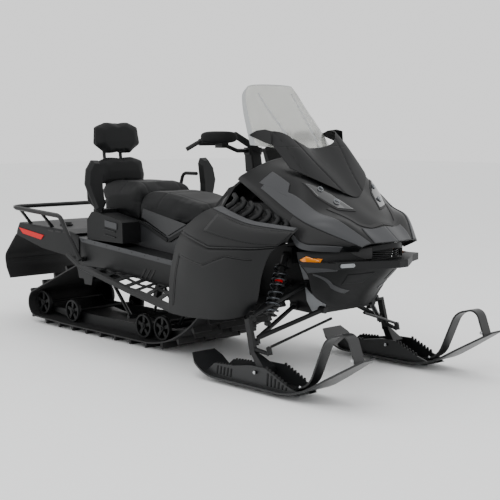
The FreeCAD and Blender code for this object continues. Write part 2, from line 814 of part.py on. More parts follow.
def back_pad(x, half_low, half_mid, half_top, z0, z1, lean):
    """An upright pad: a rounded shield shape leaning back."""
    zm = z0 + 0.3 * (z1 - z0)
    zn = z0 + 0.84 * (z1 - z0)
    shape = [
        (-half_low, z0), (half_low, z0), (half_mid, zm), (half_mid * 0.93, zn), (half_top, z1),
        (-half_top, z1), (-half_mid * 0.93, zn), (-half_mid, zm),
    ]
    front = [(x + lean * (z - z0), y, z) for y, z in shape]
    crown = [(x + 22 + lean * (z - z0), y * 0.86, z0 + (z - z0) * 0.9 + (z1 - z0) * 0.05) for y, z in shape]
    back = [(x - PAD_THICK + 22 + lean * (z - z0), y * 0.94, z0 + (z - z0) * 0.96 + (z1 - z0) * 0.02) for y, z in shape]
    return lofted([back, front]).fuse(lofted([front, crown]))


keep("head_pad", back_pad(HEAD_X, 92, HEAD_HALF, 84, HEAD_LOW_Z, HEAD_TOP_Z, -0.12))
keep("lumbar_pad", back_pad(LUMBAR_X, LUMBAR_HALF - 12, LUMBAR_HALF, 92, LUMBAR_LOW_Z, LUMBAR_TOP_Z, -0.12))

# Passenger grips with their wind blades
GRIP_Y = TUNNEL_HALF + 22
BLADE_Y = GRIP_Y + 60
BLADE_X = -425.0


def grip_blade():
    """The upright wind blade outside the passenger's hand."""
    shape = [
        (BLADE_Y - 24, 748), (BLADE_Y + 6, 760), (BLADE_Y + 40, 842), (BLADE_Y + 62, 905), (BLADE_Y + 48, 985),
        (BLADE_Y + 8, 1036), (BLADE_Y - 34, 1034), (BLADE_Y - 50, 1000), (BLADE_Y - 44, 880), (BLADE_Y - 50, 800),
    ]
    front = [(BLADE_X - 0.10 * (z - 748), -y, z) for y, z in shape]
    mid_y = -BLADE_Y
    middle = [(x + 26, mid_y + (y - mid_y) * 0.8, 890 + (z - 890) * 0.88) for x, y, z in front]
    back = [(x - 12, y, z) for x, y, z in front]
    return lofted([back, front]).fuse(lofted([front, middle]))


def grip_loop():
    """The hand loop: a rod back from the blade, a hump and a lower arm to the seat base."""
    rod_z = 940.0
    tube = bent_tube([
        (BLADE_X - 36, -GRIP_Y, rod_z), (-590, -GRIP_Y, rod_z), (-612, -GRIP_Y + 20, 800), (-560, -GRIP_Y + 60, 742)],
        11, 28)
    arm = bent_tube([(BLADE_X - 26, -GRIP_Y - 12, 815), (-470, -GRIP_Y + 20, 790), (-560, -GRIP_Y + 60, 742)], 13, 40)
    return tube.fuse(arm)


blade = grip_blade()
loop = grip_loop().cut(blade)
foot = box(-600, -520, -GRIP_Y + 40, -BASE_HALF - SOFT_GAP, 700, 752)
keep_pair("passenger_grip", blade.fuse([loop, foot]))

# Storage box beside the passenger seat
BOX_OUT_Y = TUNNEL_HALF - SOFT_GAP
box_outline = [
    (-300, seat_foot(-300) + 2), (-303, 690), (-318, 700), (-560, 740), (-596, 736), (-640, 690), (-640, seat_foot(-640)),
]
store = slab_y(box_outline, -BOX_OUT_Y, -SEAT_HALF - 0.3)
store = store.cut(box(-700, -280, -BOX_OUT_Y - 5, -SEAT_HALF + 5, 400, tunnel_top(-640) + SOFT_GAP))
store = store.cut(box(-610, -510, -GRIP_Y + 34, -SEAT_HALF + 5, 696, 760))
keep("storage_boxes", twice(store))

# Rear body: an open-bottomed moulding over the tunnel's tail, with lamps, cap and flap


def deck_top(x):
    """Height of the rear body's lid, which falls a little towards the front."""
    rear = DECK_REAR_X + DECK_LIP
    return DECK_TOP_Z - LID_FALL * (x - rear) / (LID_END_X - rear)


def deck_outline(t):
    """Side outline of the rear body, drawn in by a wall t and left open below."""
    open_by = 120 if t else 0
    return [
        (DECK_REAR_X + t, 548 - open_by), (DECK_REAR_X + t, 592), (DECK_REAR_X + DECK_LIP + t, DECK_TOP_Z - t),
        (LID_END_X, DECK_TOP_Z - LID_FALL - t), (-800, 604 - t), (DECK_FRONT_X - t, 592 - t),
        (DECK_FRONT_X - t, 470 - open_by), (-853, 462 - open_by), (-1112, 487 - open_by),
    ]


# Rear lamps, long wedges low on the body's flanks
LAMP_THICK = 4.0
LAMP_OUTLINE = [
    (DECK_REAR_X + 32, 596), (DECK_REAR_X + 312, 566), (DECK_REAR_X + 280, 538), (DECK_REAR_X + 76, 562),
]


def rear_deck():
    """The rear body as a thin moulding, open below."""
    body = slab_y(deck_outline(0.0), -DECK_HALF, DECK_HALF)
    body = eased(body, 16, lambda e: abs(abs(e.CenterOfMass.y) - DECK_HALF) < 1 and e.CenterOfMass.z > 598)
    hollow = slab_y(deck_outline(DECK_WALL), -DECK_HALF + DECK_WALL, DECK_HALF - DECK_WALL)
    body = body.cut(hollow)
    body = body.cut(box(TUNNEL_REAR_X - 1, DECK_FRONT_X + 1, -TUNNEL_HALF - SOFT_GAP, TUNNEL_HALF + SOFT_GAP, 300, 900))
    return body


keep("rear_deck", rear_deck())

POST_Y = 60.0
POST_FOOT_X = -742.0


def back_post():
    """The bent frame behind the pads, standing on the rear body."""
    legs = []
    for y in (-POST_Y, POST_Y):
        legs.append(bent_tube([
            (POST_FOOT_X - 66, y, DECK_TOP_Z + SOFT_GAP), (POST_FOOT_X - 72, y, 880.0), (POST_FOOT_X - 112, y, 1170.0)],
            11, 200))
    cross = box(POST_FOOT_X - 86, POST_FOOT_X - 42, -POST_Y, POST_Y, 900, 960)
    high = box(POST_FOOT_X - 115, POST_FOOT_X - 82, -POST_Y, POST_Y, 1110, 1150)
    foot = box(POST_FOOT_X - 100, POST_FOOT_X - 40, -POST_Y - 30, POST_Y + 30, DECK_TOP_Z - 26, DECK_TOP_Z + 14)
    return legs[0].fuse([legs[1], cross, high, foot])


keep("backrest_post", fitted(back_post(), [parts["head_pad"], parts["lumbar_pad"], parts["rear_deck"]]))

lamp = slab_y(LAMP_OUTLINE, -DECK_HALF - SOFT_GAP - LAMP_THICK, -DECK_HALF - SOFT_GAP)
keep("tail_lamps", twice(lamp))

# Cargo rack
POST_INSET = 35.0


def rear_rack():
    """One bent tube round the back with a leg down each side, cross bars and posts."""
    side = [
        (-668, -RACK_HALF + 16, 452), (-770, -RACK_HALF, 600), (RACK_BEND_X, -RACK_HALF, RACK_BEND_Z),
        (RACK_REAR_X, -RACK_HALF, RACK_REAR_Z),
    ]
    other = [(x, -y, z) for x, y, z in reversed(side)]
    loop = bent_tube(side + other, RACK_R, 60)
    posts = []
    for x in (DECK_REAR_X + 110, DECK_REAR_X + 350):
        z = RACK_BEND_Z + (x - RACK_BEND_X) / (RACK_REAR_X - RACK_BEND_X) * (RACK_REAR_Z - RACK_BEND_Z)
        for side in (-1, 1):
            out = side * RACK_HALF
            foot = side * (DECK_HALF - POST_INSET)
            low = deck_top(x - 8) + SOFT_GAP
            bent = [(out + 9, z), (out - 9, z), (foot - 9, low), (foot + 9, low)]
            posts.append(slab_x(bent, x - 8, x + 8))
    for side in (-1, 1):
        y0, y1 = sorted((side * (TUNNEL_HALF + SOFT_GAP), side * (RACK_HALF - 16)))
        posts.append(box(-690, -650, y0, y1, 446, 468))
    return loop.fuse(posts)


keep("rear_rack", rear_rack())


def snow_flap():
    """The curved flap behind the track."""
    rear = DECK_REAR_X
    line = [(rear - 2.1, 566), (rear - 70, 548), (rear - 216, 400), (rear - 200, 322), (rear - 156, 254)]
    return strap(line, [70, 60, 80], FLAP_THICK, -FLAP_HALF, FLAP_HALF)


keep("snow_flap", snow_flap())

# Tow hitch under the tail
HITCH_PIN_R = 9.5


def tow_hitch():
    """A plate and tongue with a pin hole, hung below the tail plate."""
    top = DECK_FLOOR_Z - SOFT_GAP
    plate = box(TAIL_END_X, TAIL_END_X + 70, -60, 60, top - 8, top)
    web = slab_y([(TAIL_END_X, top - 8), (TAIL_END_X + 60, top - 8), (TAIL_END_X + 20, 470), (TAIL_END_X, 470)], -36, 36)
    tongue = box(TAIL_END_X - 25, TAIL_END_X + 24, -36, 36, 470, 484)
    pin_x = TAIL_END_X - 6
    hitch = plate.fuse([web.cut(box(TAIL_END_X - 9, TAIL_END_X + 90, -28, 28, 484, 540)), tongue])
    return hitch.cut(Part.makeCylinder(HITCH_PIN_R, 40, V(pin_x, 0, 460)))


keep("tow_hitch", tow_hitch())

# Front frame, engine and suspension


def bulkhead():
    """The cast front frame that carries the arms and shocks."""
    outline = [
        (TUNNEL_FRONT_X + SOFT_GAP, 545), (850, 660), (900, 660), (1010, 610), (1050, 470), (1092, 400), (1070, 334),
        (980, 322), (862, 326), (830, BELLY_Z), (TUNNEL_FRONT_X + SOFT_GAP, BELLY_Z),
    ]
    body = slab_y(outline, -BULKHEAD_HALF, BULKHEAD_HALF)
    hollow = slab_y([(x + (14 if x < 700 else 0), z) for x, z in [
        (520, 520), (850, 630), (880, 630), (985, 580), (1020, 470), (1040, 420), (1000, 400), (520, 400)]],
        -BULKHEAD_HALF + 14, BULKHEAD_HALF - 14)
    return body.cut(hollow)


body = bulkhead()
tower_y = -SHOCK_TOP[1] + SHOCK_EYE_R * math.cos(math.pi / BAR_SIDES) + SOFT_GAP
tower = slab_y([(820, 560), (900, 560), (892, 640), (850, 640)], tower_y, -BULKHEAD_HALF)
body = body.fuse([tower, mirrored(tower)])
keep("bulkhead", body)

engine = box(TUNNEL_FRONT_X + 62, 884, -240, 240, 660 + SOFT_GAP, 846)
keep("engine_block", engine)


def arm_tube(a, b):
    """One tube of a suspension arm."""
    return bar(a, b, ARM_R, TUBE_SIDES)


LEAN = math.radians(CASTER_DEG)
KINGPIN_LIFT = 110.0
LUG_PLATE = 14.0
LUG_R = 16.0
PIN_R = 8.0
LEG_OFF = 34.0
LEG_HALF = 10.0
FORK_GAP = 0.3
STUD_R = 6.0
TIE_OUT = (1004.0, -SPINDLE_Y - 18.0, 196.0)
TIE_IN = (1078.0, -118.0, 305.0)


KINGPIN = (SPINDLE_X, -SPINDLE_Y, SPINDLE_Z)


def tilt(shape, centre=KINGPIN):
    """Turn a piece drawn upright at a point to the steering axis's own lean."""
    shape.rotate(V(*centre), V(0, 1, 0), -CASTER_DEG)
    return shape


def on_kingpin(lift, inboard=0.0):
    """The point at a height along the right steering axis, moved inboard."""
    x = SPINDLE_X - lift * math.sin(LEAN)
    z = SPINDLE_Z + lift * math.cos(LEAN)
    return (x, -SPINDLE_Y + inboard, z)


def bore_radius(pin_radius):
    """Corner radius of a many-flat bore whose flats just clear a turning pin's corners."""
    return (pin_radius + PIN_CLEAR) / math.cos(math.pi / FIT_SIDES)


def arm_end(lift):
    """The round end of an arm, with its pin down through the spindle's lug."""
    disc = disc_z(SPINDLE_X, -SPINDLE_Y, LUG_R, SPINDLE_Z + lift, SPINDLE_Z + lift + LUG_PLATE)
    low = SPINDLE_Z + lift - LUG_PLATE - 7
    pin = disc_z(SPINDLE_X, -SPINDLE_Y, PIN_R, low, low + LUG_PLATE + 8, FIT_SIDES)
    return tilt(disc.fuse(pin))


def wishbone(lift, front_x, rear_x, pivot_z, eye_r):
    """An arm of two tubes from the front frame to one steering joint."""
    pivot_y = BULKHEAD_HALF + eye_r * math.cos(math.pi / BAR_SIDES) + SOFT_GAP
    tip = on_kingpin(lift + LUG_PLATE, 10.0)
    arm = arm_end(lift)
    for x in (front_x, rear_x):
        pivot = (x, -pivot_y, pivot_z)
        eye = bar((x - 20, -pivot_y, pivot_z), (x + 20, -pivot_y, pivot_z), eye_r)
        arm = arm.fuse([arm_tube(pivot, tip), eye])
    return arm


def lower_arm():
    """Lower arm with the shock's seat on its rear tube."""
    arm = wishbone(0.0, LOWER_FRONT_X, LOWER_REAR_X, LOWER_PIVOT_Z, LOWER_EYE_R)
    return arm


def upper_arm():
    """Upper arm."""
    return wishbone(KINGPIN_LIFT, UPPER_PIVOT_X, UPPER_REAR_X, UPPER_PIVOT_Z, UPPER_EYE_R)


def spindle():
    """The ski leg: a forged bar outside the steering axis, with lugs, steering arm and saddle."""
    y_out = -SPINDLE_Y - LEG_OFF - LEG_HALF
    y_in = -SPINDLE_Y - LEG_OFF + LEG_HALF
    x = SPINDLE_X
    z = SPINDLE_Z
    leg = slab_y([(x - 17, z - 60), (x + 19, z - 60), (x + 15, z + KINGPIN_LIFT), (x - 15, z + KINGPIN_LIFT)], y_out, y_in)
    pieces = []
    for lift in (0.0, KINGPIN_LIFT):
        top = z + lift - FORK_GAP
        plate = box(x - LUG_R, x + LUG_R, y_in - 2, -SPINDLE_Y, top - LUG_PLATE, top)
        disc = disc_z(x, -SPINDLE_Y, LUG_R, top - LUG_PLATE, top)
        pieces += [plate, disc]
    leg = tilt(leg.fuse(pieces))
    for lift in (0.0, KINGPIN_LIFT):
        bore = disc_z(x, -SPINDLE_Y, bore_radius(PIN_R), z + lift - 40, z + lift + 20, FIT_SIDES)
        leg = leg.cut(tilt(bore))
    low = on_kingpin(-58.0)
    ski_y = -SKI_STANCE / 2
    foot = lofted([
        [(low[0] - 18, y_out, low[2] + 12), (low[0] + 18, y_out, low[2] + 12),
         (low[0] + 18, y_in, low[2] + 12), (low[0] - 18, y_in, low[2] + 12)],
        [(SKI_BOLT_X - 26, ski_y - SADDLE_HALF, 112), (SKI_BOLT_X + 24, ski_y - SADDLE_HALF, 112),
         (SKI_BOLT_X + 24, ski_y + SADDLE_HALF, 112), (SKI_BOLT_X - 26, ski_y + SADDLE_HALF, 112)],
    ])
    saddle = box(SKI_BOLT_X - 26, SKI_BOLT_X + 24, ski_y - SADDLE_HALF, ski_y + SADDLE_HALF, SKI_BOLT_Z - 18, 112)
    reach = bar((low[0] + 10, -SPINDLE_Y - LEG_OFF, low[2] + 26), (TIE_OUT[0], TIE_OUT[1], TIE_OUT[2] - 27), 10)
    knob = disc_z(TIE_OUT[0], TIE_OUT[1], 13, TIE_OUT[2] - 32, TIE_OUT[2] - 8)
    stud = disc_z(TIE_OUT[0], TIE_OUT[1], STUD_R, TIE_OUT[2] - 16, TIE_OUT[2] + 10, FIT_SIDES)
    joint = tilt(knob.fuse(stud), TIE_OUT)
    pin = disc_y(SKI_BOLT_X, SKI_BOLT_Z, SKI_PIN_R, ski_y - FLANGE_Y - 14, ski_y + FLANGE_Y + 14, FIT_SIDES)
    return leg.fuse([foot, saddle, reach, joint, pin])


keep("lower_arms", twice(lower_arm()))
keep("upper_arms", twice(upper_arm()))
keep_pair("spindle", spindle())


def tie_rod():
    """The steering link from the spindle's stud to inside the front frame."""
    eye = tilt(disc_z(TIE_OUT[0], TIE_OUT[1], 13, TIE_OUT[2] - 7.7, TIE_OUT[2] + 6.6), TIE_OUT)
    link = bar((TIE_OUT[0] + 2, TIE_OUT[1] + 12, TIE_OUT[2] + 6), TIE_IN, 7)
    body = eye.fuse(link)
    bore = disc_z(TIE_OUT[0], TIE_OUT[1], bore_radius(STUD_R), TIE_OUT[2] - 30, TIE_OUT[2] + 30, FIT_SIDES)
    return body.cut(tilt(bore, TIE_OUT))


keep_pair("tie_rod", tie_rod())


def damper():
    """A front shock: eyes, body, shaft and a coil spring drawn as rings on a sleeve."""
    top = V(SHOCK_TOP[0], -SHOCK_TOP[1], SHOCK_TOP[2])
    foot = V(SHOCK_FOOT[0], -SHOCK_FOOT[1], SHOCK_FOOT[2])
    way = (foot - top).normalize()
    length = (foot - top).Length
    body = bar(top + way * 8, top + way * (length * 0.46), SHOCK_R)
    shaft = bar(top + way * 8, foot - way * 8, 8)
    pieces = [shaft]
    for at in (top, foot):
        pieces.append(bar(at - V(12, 0, 0), at + V(12, 0, 0), SHOCK_EYE_R))
    for share in (0.17, 0.86):
        pieces.append(bar(top + way * (length * share), top + way * (length * share + 6), SPRING_R + 3))
    return body.fuse(pieces)


keep("front_shocks", twice(damper()))


# Skis


def ski():
    """One ski: curved base, keel, two upright flanges bored for the leg's pin."""
    y = -SKI_STANCE / 2
    half = SKI_WIDTH / 2
    line = [
        (SKI_TAIL_X, SKI_TAIL_Z), (SKI_TAIL_X + 110, SKI_BASE_Z), (SKI_FLAT_FRONT_X + 70, SKI_BASE_Z),
        (SKI_TIP_X, SKI_TIP_Z),
    ]
    base = strap(line, [230, 420], SKI_THICK, y - half, y + half)
    plan = [
        (SKI_TAIL_X - 20, y - half * 0.6), (SKI_TAIL_X + 44, y - half), (1240, y - half), (1440, y - half * 0.86),
        (1560, y - half * 0.55), (SKI_TIP_X + 20, y - half * 0.34), (SKI_TIP_X + 20, y + half * 0.34),
        (1560, y + half * 0.55), (1440, y + half * 0.86), (1240, y + half), (SKI_TAIL_X + 44, y + half),
        (SKI_TAIL_X - 20, y + half * 0.6),
    ]
    base = base.common(slab_z(plan, -20, 500))
    keel_side = [
        (650, 32), (700, KEEL_LOW), (1206, KEEL_LOW), (1296, 38), (1280, 44), (1200, 26), (760, 26), (690, 30),
    ]
    keel = slab_y(keel_side, y - KEEL_WIDTH / 2, y + KEEL_WIDTH / 2)
    flange_side = [
        (640, 40), (700, 90), (833, 98), (950, 118), (1046, 120), (1110, 94), (1180, 64), (1250, 44), (1250, 30), (700, 26),
    ]
    pieces = [keel]
    for side in (-1, 1):
        a = y + side * (FLANGE_Y - FLANGE_THICK / 2)
        b = y + side * (FLANGE_Y + FLANGE_THICK / 2)
        pieces.append(slab_y(flange_side, min(a, b), max(a, b)))
    body = base.fuse(pieces)
    return body.cut(disc_y(SKI_BOLT_X, SKI_BOLT_Z, bore_radius(SKI_PIN_R), y - half, y + half, FIT_SIDES))


def runner_points(y):
    """The wear bar's line under the keel."""
    return [(702, y, RUNNER_R), (1204, y, RUNNER_R)]


def ski_loop():
    """The carrying loop at the ski's nose."""
    y = -SKI_STANCE / 2
    line = [(1200, 32), (1300, 76), (1398, 302), (1512, 330), (1562, 196)]
    return strap(line, [120, 90, 42], LOOP_THICK, y - LOOP_WIDTH / 2, y + LOOP_WIDTH / 2)


ski_body = ski()
runner = bent_tube(runner_points(-SKI_STANCE / 2), RUNNER_R, 60, BAR_SIDES)
hoop = ski_loop().cut(ski_body)
hoop = max(hoop.Solids, key=lambda s: s.Volume)
keep_pair("ski", ski_body)
keep_pair("ski_loop", hoop)
keep_pair("ski_runner", runner)


# Bodywork. Each sheet is given on the right, from the centre line out, and doubled.


def hood():
    """The nose shell from the screen's foot down to the grille."""
    rows = [
        [(800, 0, 1090), (775, -110, 1078), (690, -215, 1040), (600, -292, 985)],
        [(1010, 0, 985), (975, -120, 968), (890, -215, 925), (760, -310, 878)],
        [(1150, 0, 850), (1110, -130, 835), (1020, -225, 800), (900, -330, 782)],
        [(1280, 0, 765), (1225, -140, 742), (1120, -240, 712), (1010, -345, 700)],
        [(1380, 0, 686), (1290, -150, 662), (1180, -250, 648), (1065, -345, 640)],
    ]
    return skin(both_halves(rows), (-5, 0, -3.5))


def fascia():
    """The undercut lower nose, from the grille's top to the belly."""
    rows = [
        [(1374, 0, 686), (1284, -150, 662), (1174, -250, 649), (1060, -343, 641)],
        [(1372, 0, 618), (1284, -150, 602), (1186, -250, 596), (1076, -343, 590)],
        [(1330, 0, 560), (1262, -150, 548), (1180, -230, 540), (1090, -300, 530)],
        [(1180, 0, 430), (1140, -140, 425), (1106, -200, 425), (1086, -262, 440)],
        [(1112, 0, 352), (1112, -90, 352), (1108, -165, 372), (1090, -215, 400)],
    ]
    return skin(both_halves(rows), (-5, 0, 0))


GRILLE_Z0 = 612.0
GRILLE_Z1 = 652.0
grille_mouth = slab_x([(-128, GRILLE_Z0), (128, GRILLE_Z0), (100, GRILLE_Z1), (-100, GRILLE_Z1)], 1200, 1420)
keep("hood", hood())
nose = fitted(fascia(), [parts["hood"]])
keep("nose_fascia", nose.cut(grille_mouth))


def grille():
    """Slats set back in the nose's mouth, on two end posts."""
    slats = []
    for i in range(4):
        z = GRILLE_Z0 + 1 + i * 10.2
        slats.append(slab_z([(1288, -140), (1366, 0), (1288, 140), (1266, 140), (1344, 0), (1266, -140)], z, z + 4))
    posts = [box(1272, 1292, y - 3, y + 3, GRILLE_Z0 + 0.5, GRILLE_Z1 - 4) for y in (-112, 112)]
    return slats[0].fuse(slats[1:] + posts)


keep("grille", fitted(grille(), [parts["nose_fascia"]]))


def front_bumper():
    """The band round the nose below the grille."""
    outer = [(1268, -300), (1300, -214), (1366, -112), (1418, -30), (1418, 30), (1366, 112), (1300, 214), (1268, 300)]
    inner = [(x - 62, y * 0.97) for x, y in outer]
    band = slab_z(outer + list(reversed(inner)), 572, 572 + BUMPER_HEIGHT)
    ends = [slab_z([(1268, s * 300), (1234, s * 291), (1100, s * 352), (1106, s * 362)], 576, 600) for s in (-1, 1)]
    return band.fuse(ends).cut(nose)


bumper = front_bumper()
bumper = max(bumper.Solids, key=lambda b: b.BoundBox.XMax)
keep("front_bumper", bumper)


def side_panel():
    """The big moulded side cover, with a wing at its front top and an open rear."""
    out = BOARD_OUT_Y + BOARD_TUBE_R + 6.8
    rows = [
        [(338, -out, 288), (350, -out - 9, 400), (372, -out - 7, 540), (430, -512, 700), (520, -452, 800), (596, -392, 836)],
        [(480, -out, 284), (500, -out - 13, 400), (520, -out - 23, 540), (560, -528, 690), (640, -462, 772), (690, -396, 806)],
        [(700, -510, 296), (700, -530, 400), (710, -out - 19, 540), (740, -524, 660), (800, -464, 738), (820, -400, 776)],
        [(816, -470, 319), (840, -508, 410), (860, -516, 540), (890, -500, 640), (940, -450, 720), (950, -392, 766)],
        [(870, -440, 360), (926, -462, 418), (960, -468, 540), (1000, -452, 640), (1080, -420, 712), (1105, -376, 756)],
    ]
    return skin(rows, (0, PANEL_WALL, 0))


keep_pair("side_panel", side_panel())


def belly_pan():
    """The floor under the engine bay, hung below the front frame and out to the side covers."""
    top = BELLY_Z - SOFT_GAP
    pan = box(TUNNEL_FRONT_X + SOFT_GAP, 820, -540, 540, top - 6, top)
    return fitted(pan, [parts["right_side_panel"], parts["left_side_panel"]])


keep("belly_pan", belly_pan())


def louvre_bank():
    """The row of slanted fins between hood and side panel."""
    fins = []
    for i in range(7):
        x = 620 + i * 58
        z = 868 - i * 17
        fin = lofted([
            [(x, -322, z + 26), (x + 44, -322, z + 2), (x + 50, -322, z - 8), (x + 6, -322, z + 16)],
            [(x + 12, -394, z - 22), (x + 56, -394, z - 46), (x + 62, -394, z - 56), (x + 18, -394, z - 32)],
        ])
        fins.append(fin)
    spine = lofted([
        [(600, -346, 868), (1040, -356, 738), (1040, -348, 732), (600, -338, 862)],
        [(600, -354, 846), (1040, -364, 716), (1040, -356, 710), (600, -346, 840)],
    ])
    return spine.fuse(fins)


louvres = fitted(louvre_bank(), [parts["hood"], parts["right_side_panel"]])
keep("louvre_banks", twice(louvres))


def cowl():
    """The dark surround between the windscreen and the lamps."""
    rows = [
        [(820, 0, 1122), (798, -120, 1114), (714, -226, 1112), (668, -294, 1118)],
        [(1018, 0, 1010), (975, -100, 1022), (868, -214, 1046), (694, -304, 1066)],
        [(1128, 0, 882), (1062, -96, 932), (934, -232, 1000), (722, -310, 1018)],
    ]
    return skin(both_halves(rows), (-5, 0, 9))


def ribbed_cowl():
    """The surround with two ribs that stand on the hood."""
    rib = slab_y([(880, 1074), (1000, 1010), (1000, 962), (880, 1018)], -100, -92)
    rib = fitted(rib, [parts["hood"]])
    return cowl().fuse([rib, mirrored(rib)])


def windshield():
    """The tall clear screen, folded back at its sides."""
    rows = [
        [(545, 0, 1434), (541, -90, 1432), (533, -160, 1422)],
        [(590, 0, 1380), (584, -120, 1380), (561, -222, 1378)],
        [(722, 0, 1222), (708, -150, 1222), (652, -282, 1222)],
        [(812, 0, 1108), (796, -150, 1100), (672, -290, 1128)],
    ]
    return skin(both_halves(rows), (GLASS_THICK, 0, GLASS_THICK))


keep("windshield", windshield())
keep("cowl", fitted(ribbed_cowl(), [parts["windshield"], parts["hood"]]))


def steer_turn(shape):
    """Lean a piece drawn upright to the column's own lean."""
    shape.rotate(V(STEER_X, 0, STEER_BASE_Z), V(0, 1, 0), -STEER_LEAN_DEG)
    return shape


def dash():
    """The console from the seat's nose up to the screen's foot, with the column's bore."""
    outline = [
        (240, TUNNEL_HUMP_Z + SOFT_GAP), (240, 770), (300, 830), (380, 905), (520, 948), (600, 1010), (640, 1010),
        (640, 900), (552, 850), (TUNNEL_FRONT_X, TUNNEL_HUMP_Z + SOFT_GAP),
    ]
    body = slab_y(outline, -150, 150)
    wings = skin([
        [(300, -150, 790), (400, -150, 880), (520, -150, 940), (630, -150, 1000)],
        [(330, -215, 780), (420, -225, 850), (530, -235, 915), (610, -250, 975)],
        [(440, -270, 760), (480, -290, 820), (540, -300, 880), (580, -296, 930)],
    ], (6, 0, -10))
    bore = Part.makeCylinder(COLUMN_R + COLUMN_CLEAR, 400, V(STEER_X, 0, STEER_BASE_Z - 62))
    return body.fuse([wings, mirrored(wings)]).cut(steer_turn(bore))


keep("console", dash())
GAUGE_FOOT_Z = 1010 + SOFT_GAP
gauge = lofted([
    [(602, -90, GAUGE_FOOT_Z), (570, -90, 1098), (588, -90, 1108), (638, -90, GAUGE_FOOT_Z)],
    [(602, 90, GAUGE_FOOT_Z), (570, 90, 1098), (588, 90, 1108), (638, 90, GAUGE_FOOT_Z)],
])
keep("gauge", gauge)


def headlamp():
    """One lamp pod set on the hood below the screen's surround."""
    rows = [
        [(1086, -60, 906), (1040, -130, 910), (985, -200, 908)],
        [(1165, -76, 846), (1140, -135, 840), (1085, -200, 838)],
    ]
    return skin(rows, (-22, 0, -14))


lamp = headlamp().cut([parts["hood"], parts["cowl"]])
keep("headlamps", twice(max(lamp.Solids, key=lambda b: b.BoundBox.ZMax)))


amber = skin([[(1096, -330, 616), (1160, -275, 612)], [(1100, -332, 596), (1150, -282, 590)]], (6, -6, 0))
amber.translate(V(-1, 1, 0))
keep("side_markers", twice(amber))


# Handlebar group, turning on the leaning column


def handlebar():
    """Riser, cross bar and hooked grips."""
    column = Part.makeCylinder(COLUMN_R, 215, V(STEER_X, 0, STEER_BASE_Z - 60))
    column = steer_turn(column)
    half = [
        (404, 0, 1092), (404, -110, 1096), (408, -250, 1142), (402, -372, 1142), (370, -GRIP_HALF, 1106),
    ]
    full = [(x, -y, z) for x, y, z in reversed(half[1:])] + half[1:]
    tube = bent_tube(full, BAR_R, 26)
    clamp = box(382, 426, -44, 44, 1074, 1112)
    grips = []
    for side in (-1, 1):
        grips.append(bar((407, side * 268, 1142), (402, side * 366, 1142), GRIP_R))
        grips.append(box(392, 446, side * 232 - 22, side * 232 + 22, 1112, 1152))
    return column.fuse([tube, clamp] + grips)


keep("handlebar", handlebar())


def hand_guard():
    """The wind guard before one hand, with its stay to the bar."""
    rows = [
        [(498, -196, 1190), (506, -330, 1200), (508, -446, 1186)],
        [(490, -200, 1150), (499, -330, 1140), (500, -440, 1136)],
    ]
    shell = skin(rows, (7, 0, 0))
    stay = bar((440, -236, 1134), (500, -240, 1165), 7)
    return fitted(shell.fuse(stay), [parts["handlebar"]])


keep("hand_guards", twice(hand_guard()))

for name, shape in parts.items():
    shape.exportStep("parts/" + name + ".step")
print(len(parts), "pieces written")
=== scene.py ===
# %% [markdown]
# # A two-seat snowmobile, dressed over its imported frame
# The frame holds every solid of the machine in its place. This lesson adds what a camera
# sees on top: cushions, moulded shells, a screen, lamps, springs and small fittings. Each
# one is a surface worked out with numpy, in millimetres, X forward, Y left and Z up.

# %% Load the frame
import json
import math
import bmesh
import bpy
import numpy as np
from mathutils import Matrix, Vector


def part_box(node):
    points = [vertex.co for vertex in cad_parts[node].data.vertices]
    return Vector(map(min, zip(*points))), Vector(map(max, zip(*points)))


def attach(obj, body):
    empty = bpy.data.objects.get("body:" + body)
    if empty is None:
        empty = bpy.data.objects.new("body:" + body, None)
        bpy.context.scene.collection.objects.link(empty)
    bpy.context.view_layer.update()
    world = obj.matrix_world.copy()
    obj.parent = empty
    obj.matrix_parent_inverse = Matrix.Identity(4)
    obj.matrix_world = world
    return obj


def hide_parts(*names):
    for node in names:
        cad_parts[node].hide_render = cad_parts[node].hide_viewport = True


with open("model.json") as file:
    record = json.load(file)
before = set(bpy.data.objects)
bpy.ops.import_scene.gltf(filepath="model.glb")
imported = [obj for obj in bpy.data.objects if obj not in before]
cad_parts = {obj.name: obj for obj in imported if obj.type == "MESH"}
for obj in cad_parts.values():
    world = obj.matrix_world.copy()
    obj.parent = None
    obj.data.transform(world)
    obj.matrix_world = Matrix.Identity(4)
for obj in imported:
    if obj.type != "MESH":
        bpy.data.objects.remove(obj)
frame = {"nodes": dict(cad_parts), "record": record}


def save_bounds():
    """Bring the view layer up to date, before and after dressing."""
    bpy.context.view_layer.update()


save_bounds()
MM = 0.001  # one millimetre in Blender's metres

# %% [markdown]
# ## Colours and shader nodes
# Paint charts and photographs give colours as sRGB hex codes, but a renderer adds up linear
# light, so one function turns the one into the other. A second one adds a shader node of any
# kind and sets or links its inputs by name, which keeps each material to a few lines.

# %% Colours and shader nodes


def linear(code):
    """An sRGB hex code as linear light: a short straight part, then a power of 2.4."""
    s = np.array([int(code[i:i + 2], 16) for i in (0, 2, 4)]) / 255.0
    return tuple(np.where(s <= 0.04045, s / 12.92, ((s + 0.055) / 1.055) ** 2.4)) + (1.0,)


def add_node(tree, kind, **values):
    """One shader node. A value that is a socket is linked, any other is set."""
    node = tree.nodes.new("ShaderNode" + kind)
    for key, value in values.items():
        key = key.replace("_", " ")
        if key in node.inputs:
            if isinstance(value, bpy.types.NodeSocket):
                tree.links.new(value, node.inputs[key])
            else:
                node.inputs[key].default_value = value
        else:
            setattr(node, key.replace(" ", "_"), value)
    return node


print("mid grey 808080 is", [round(float(v), 3) for v in linear("808080")[:3]], "in linear light")

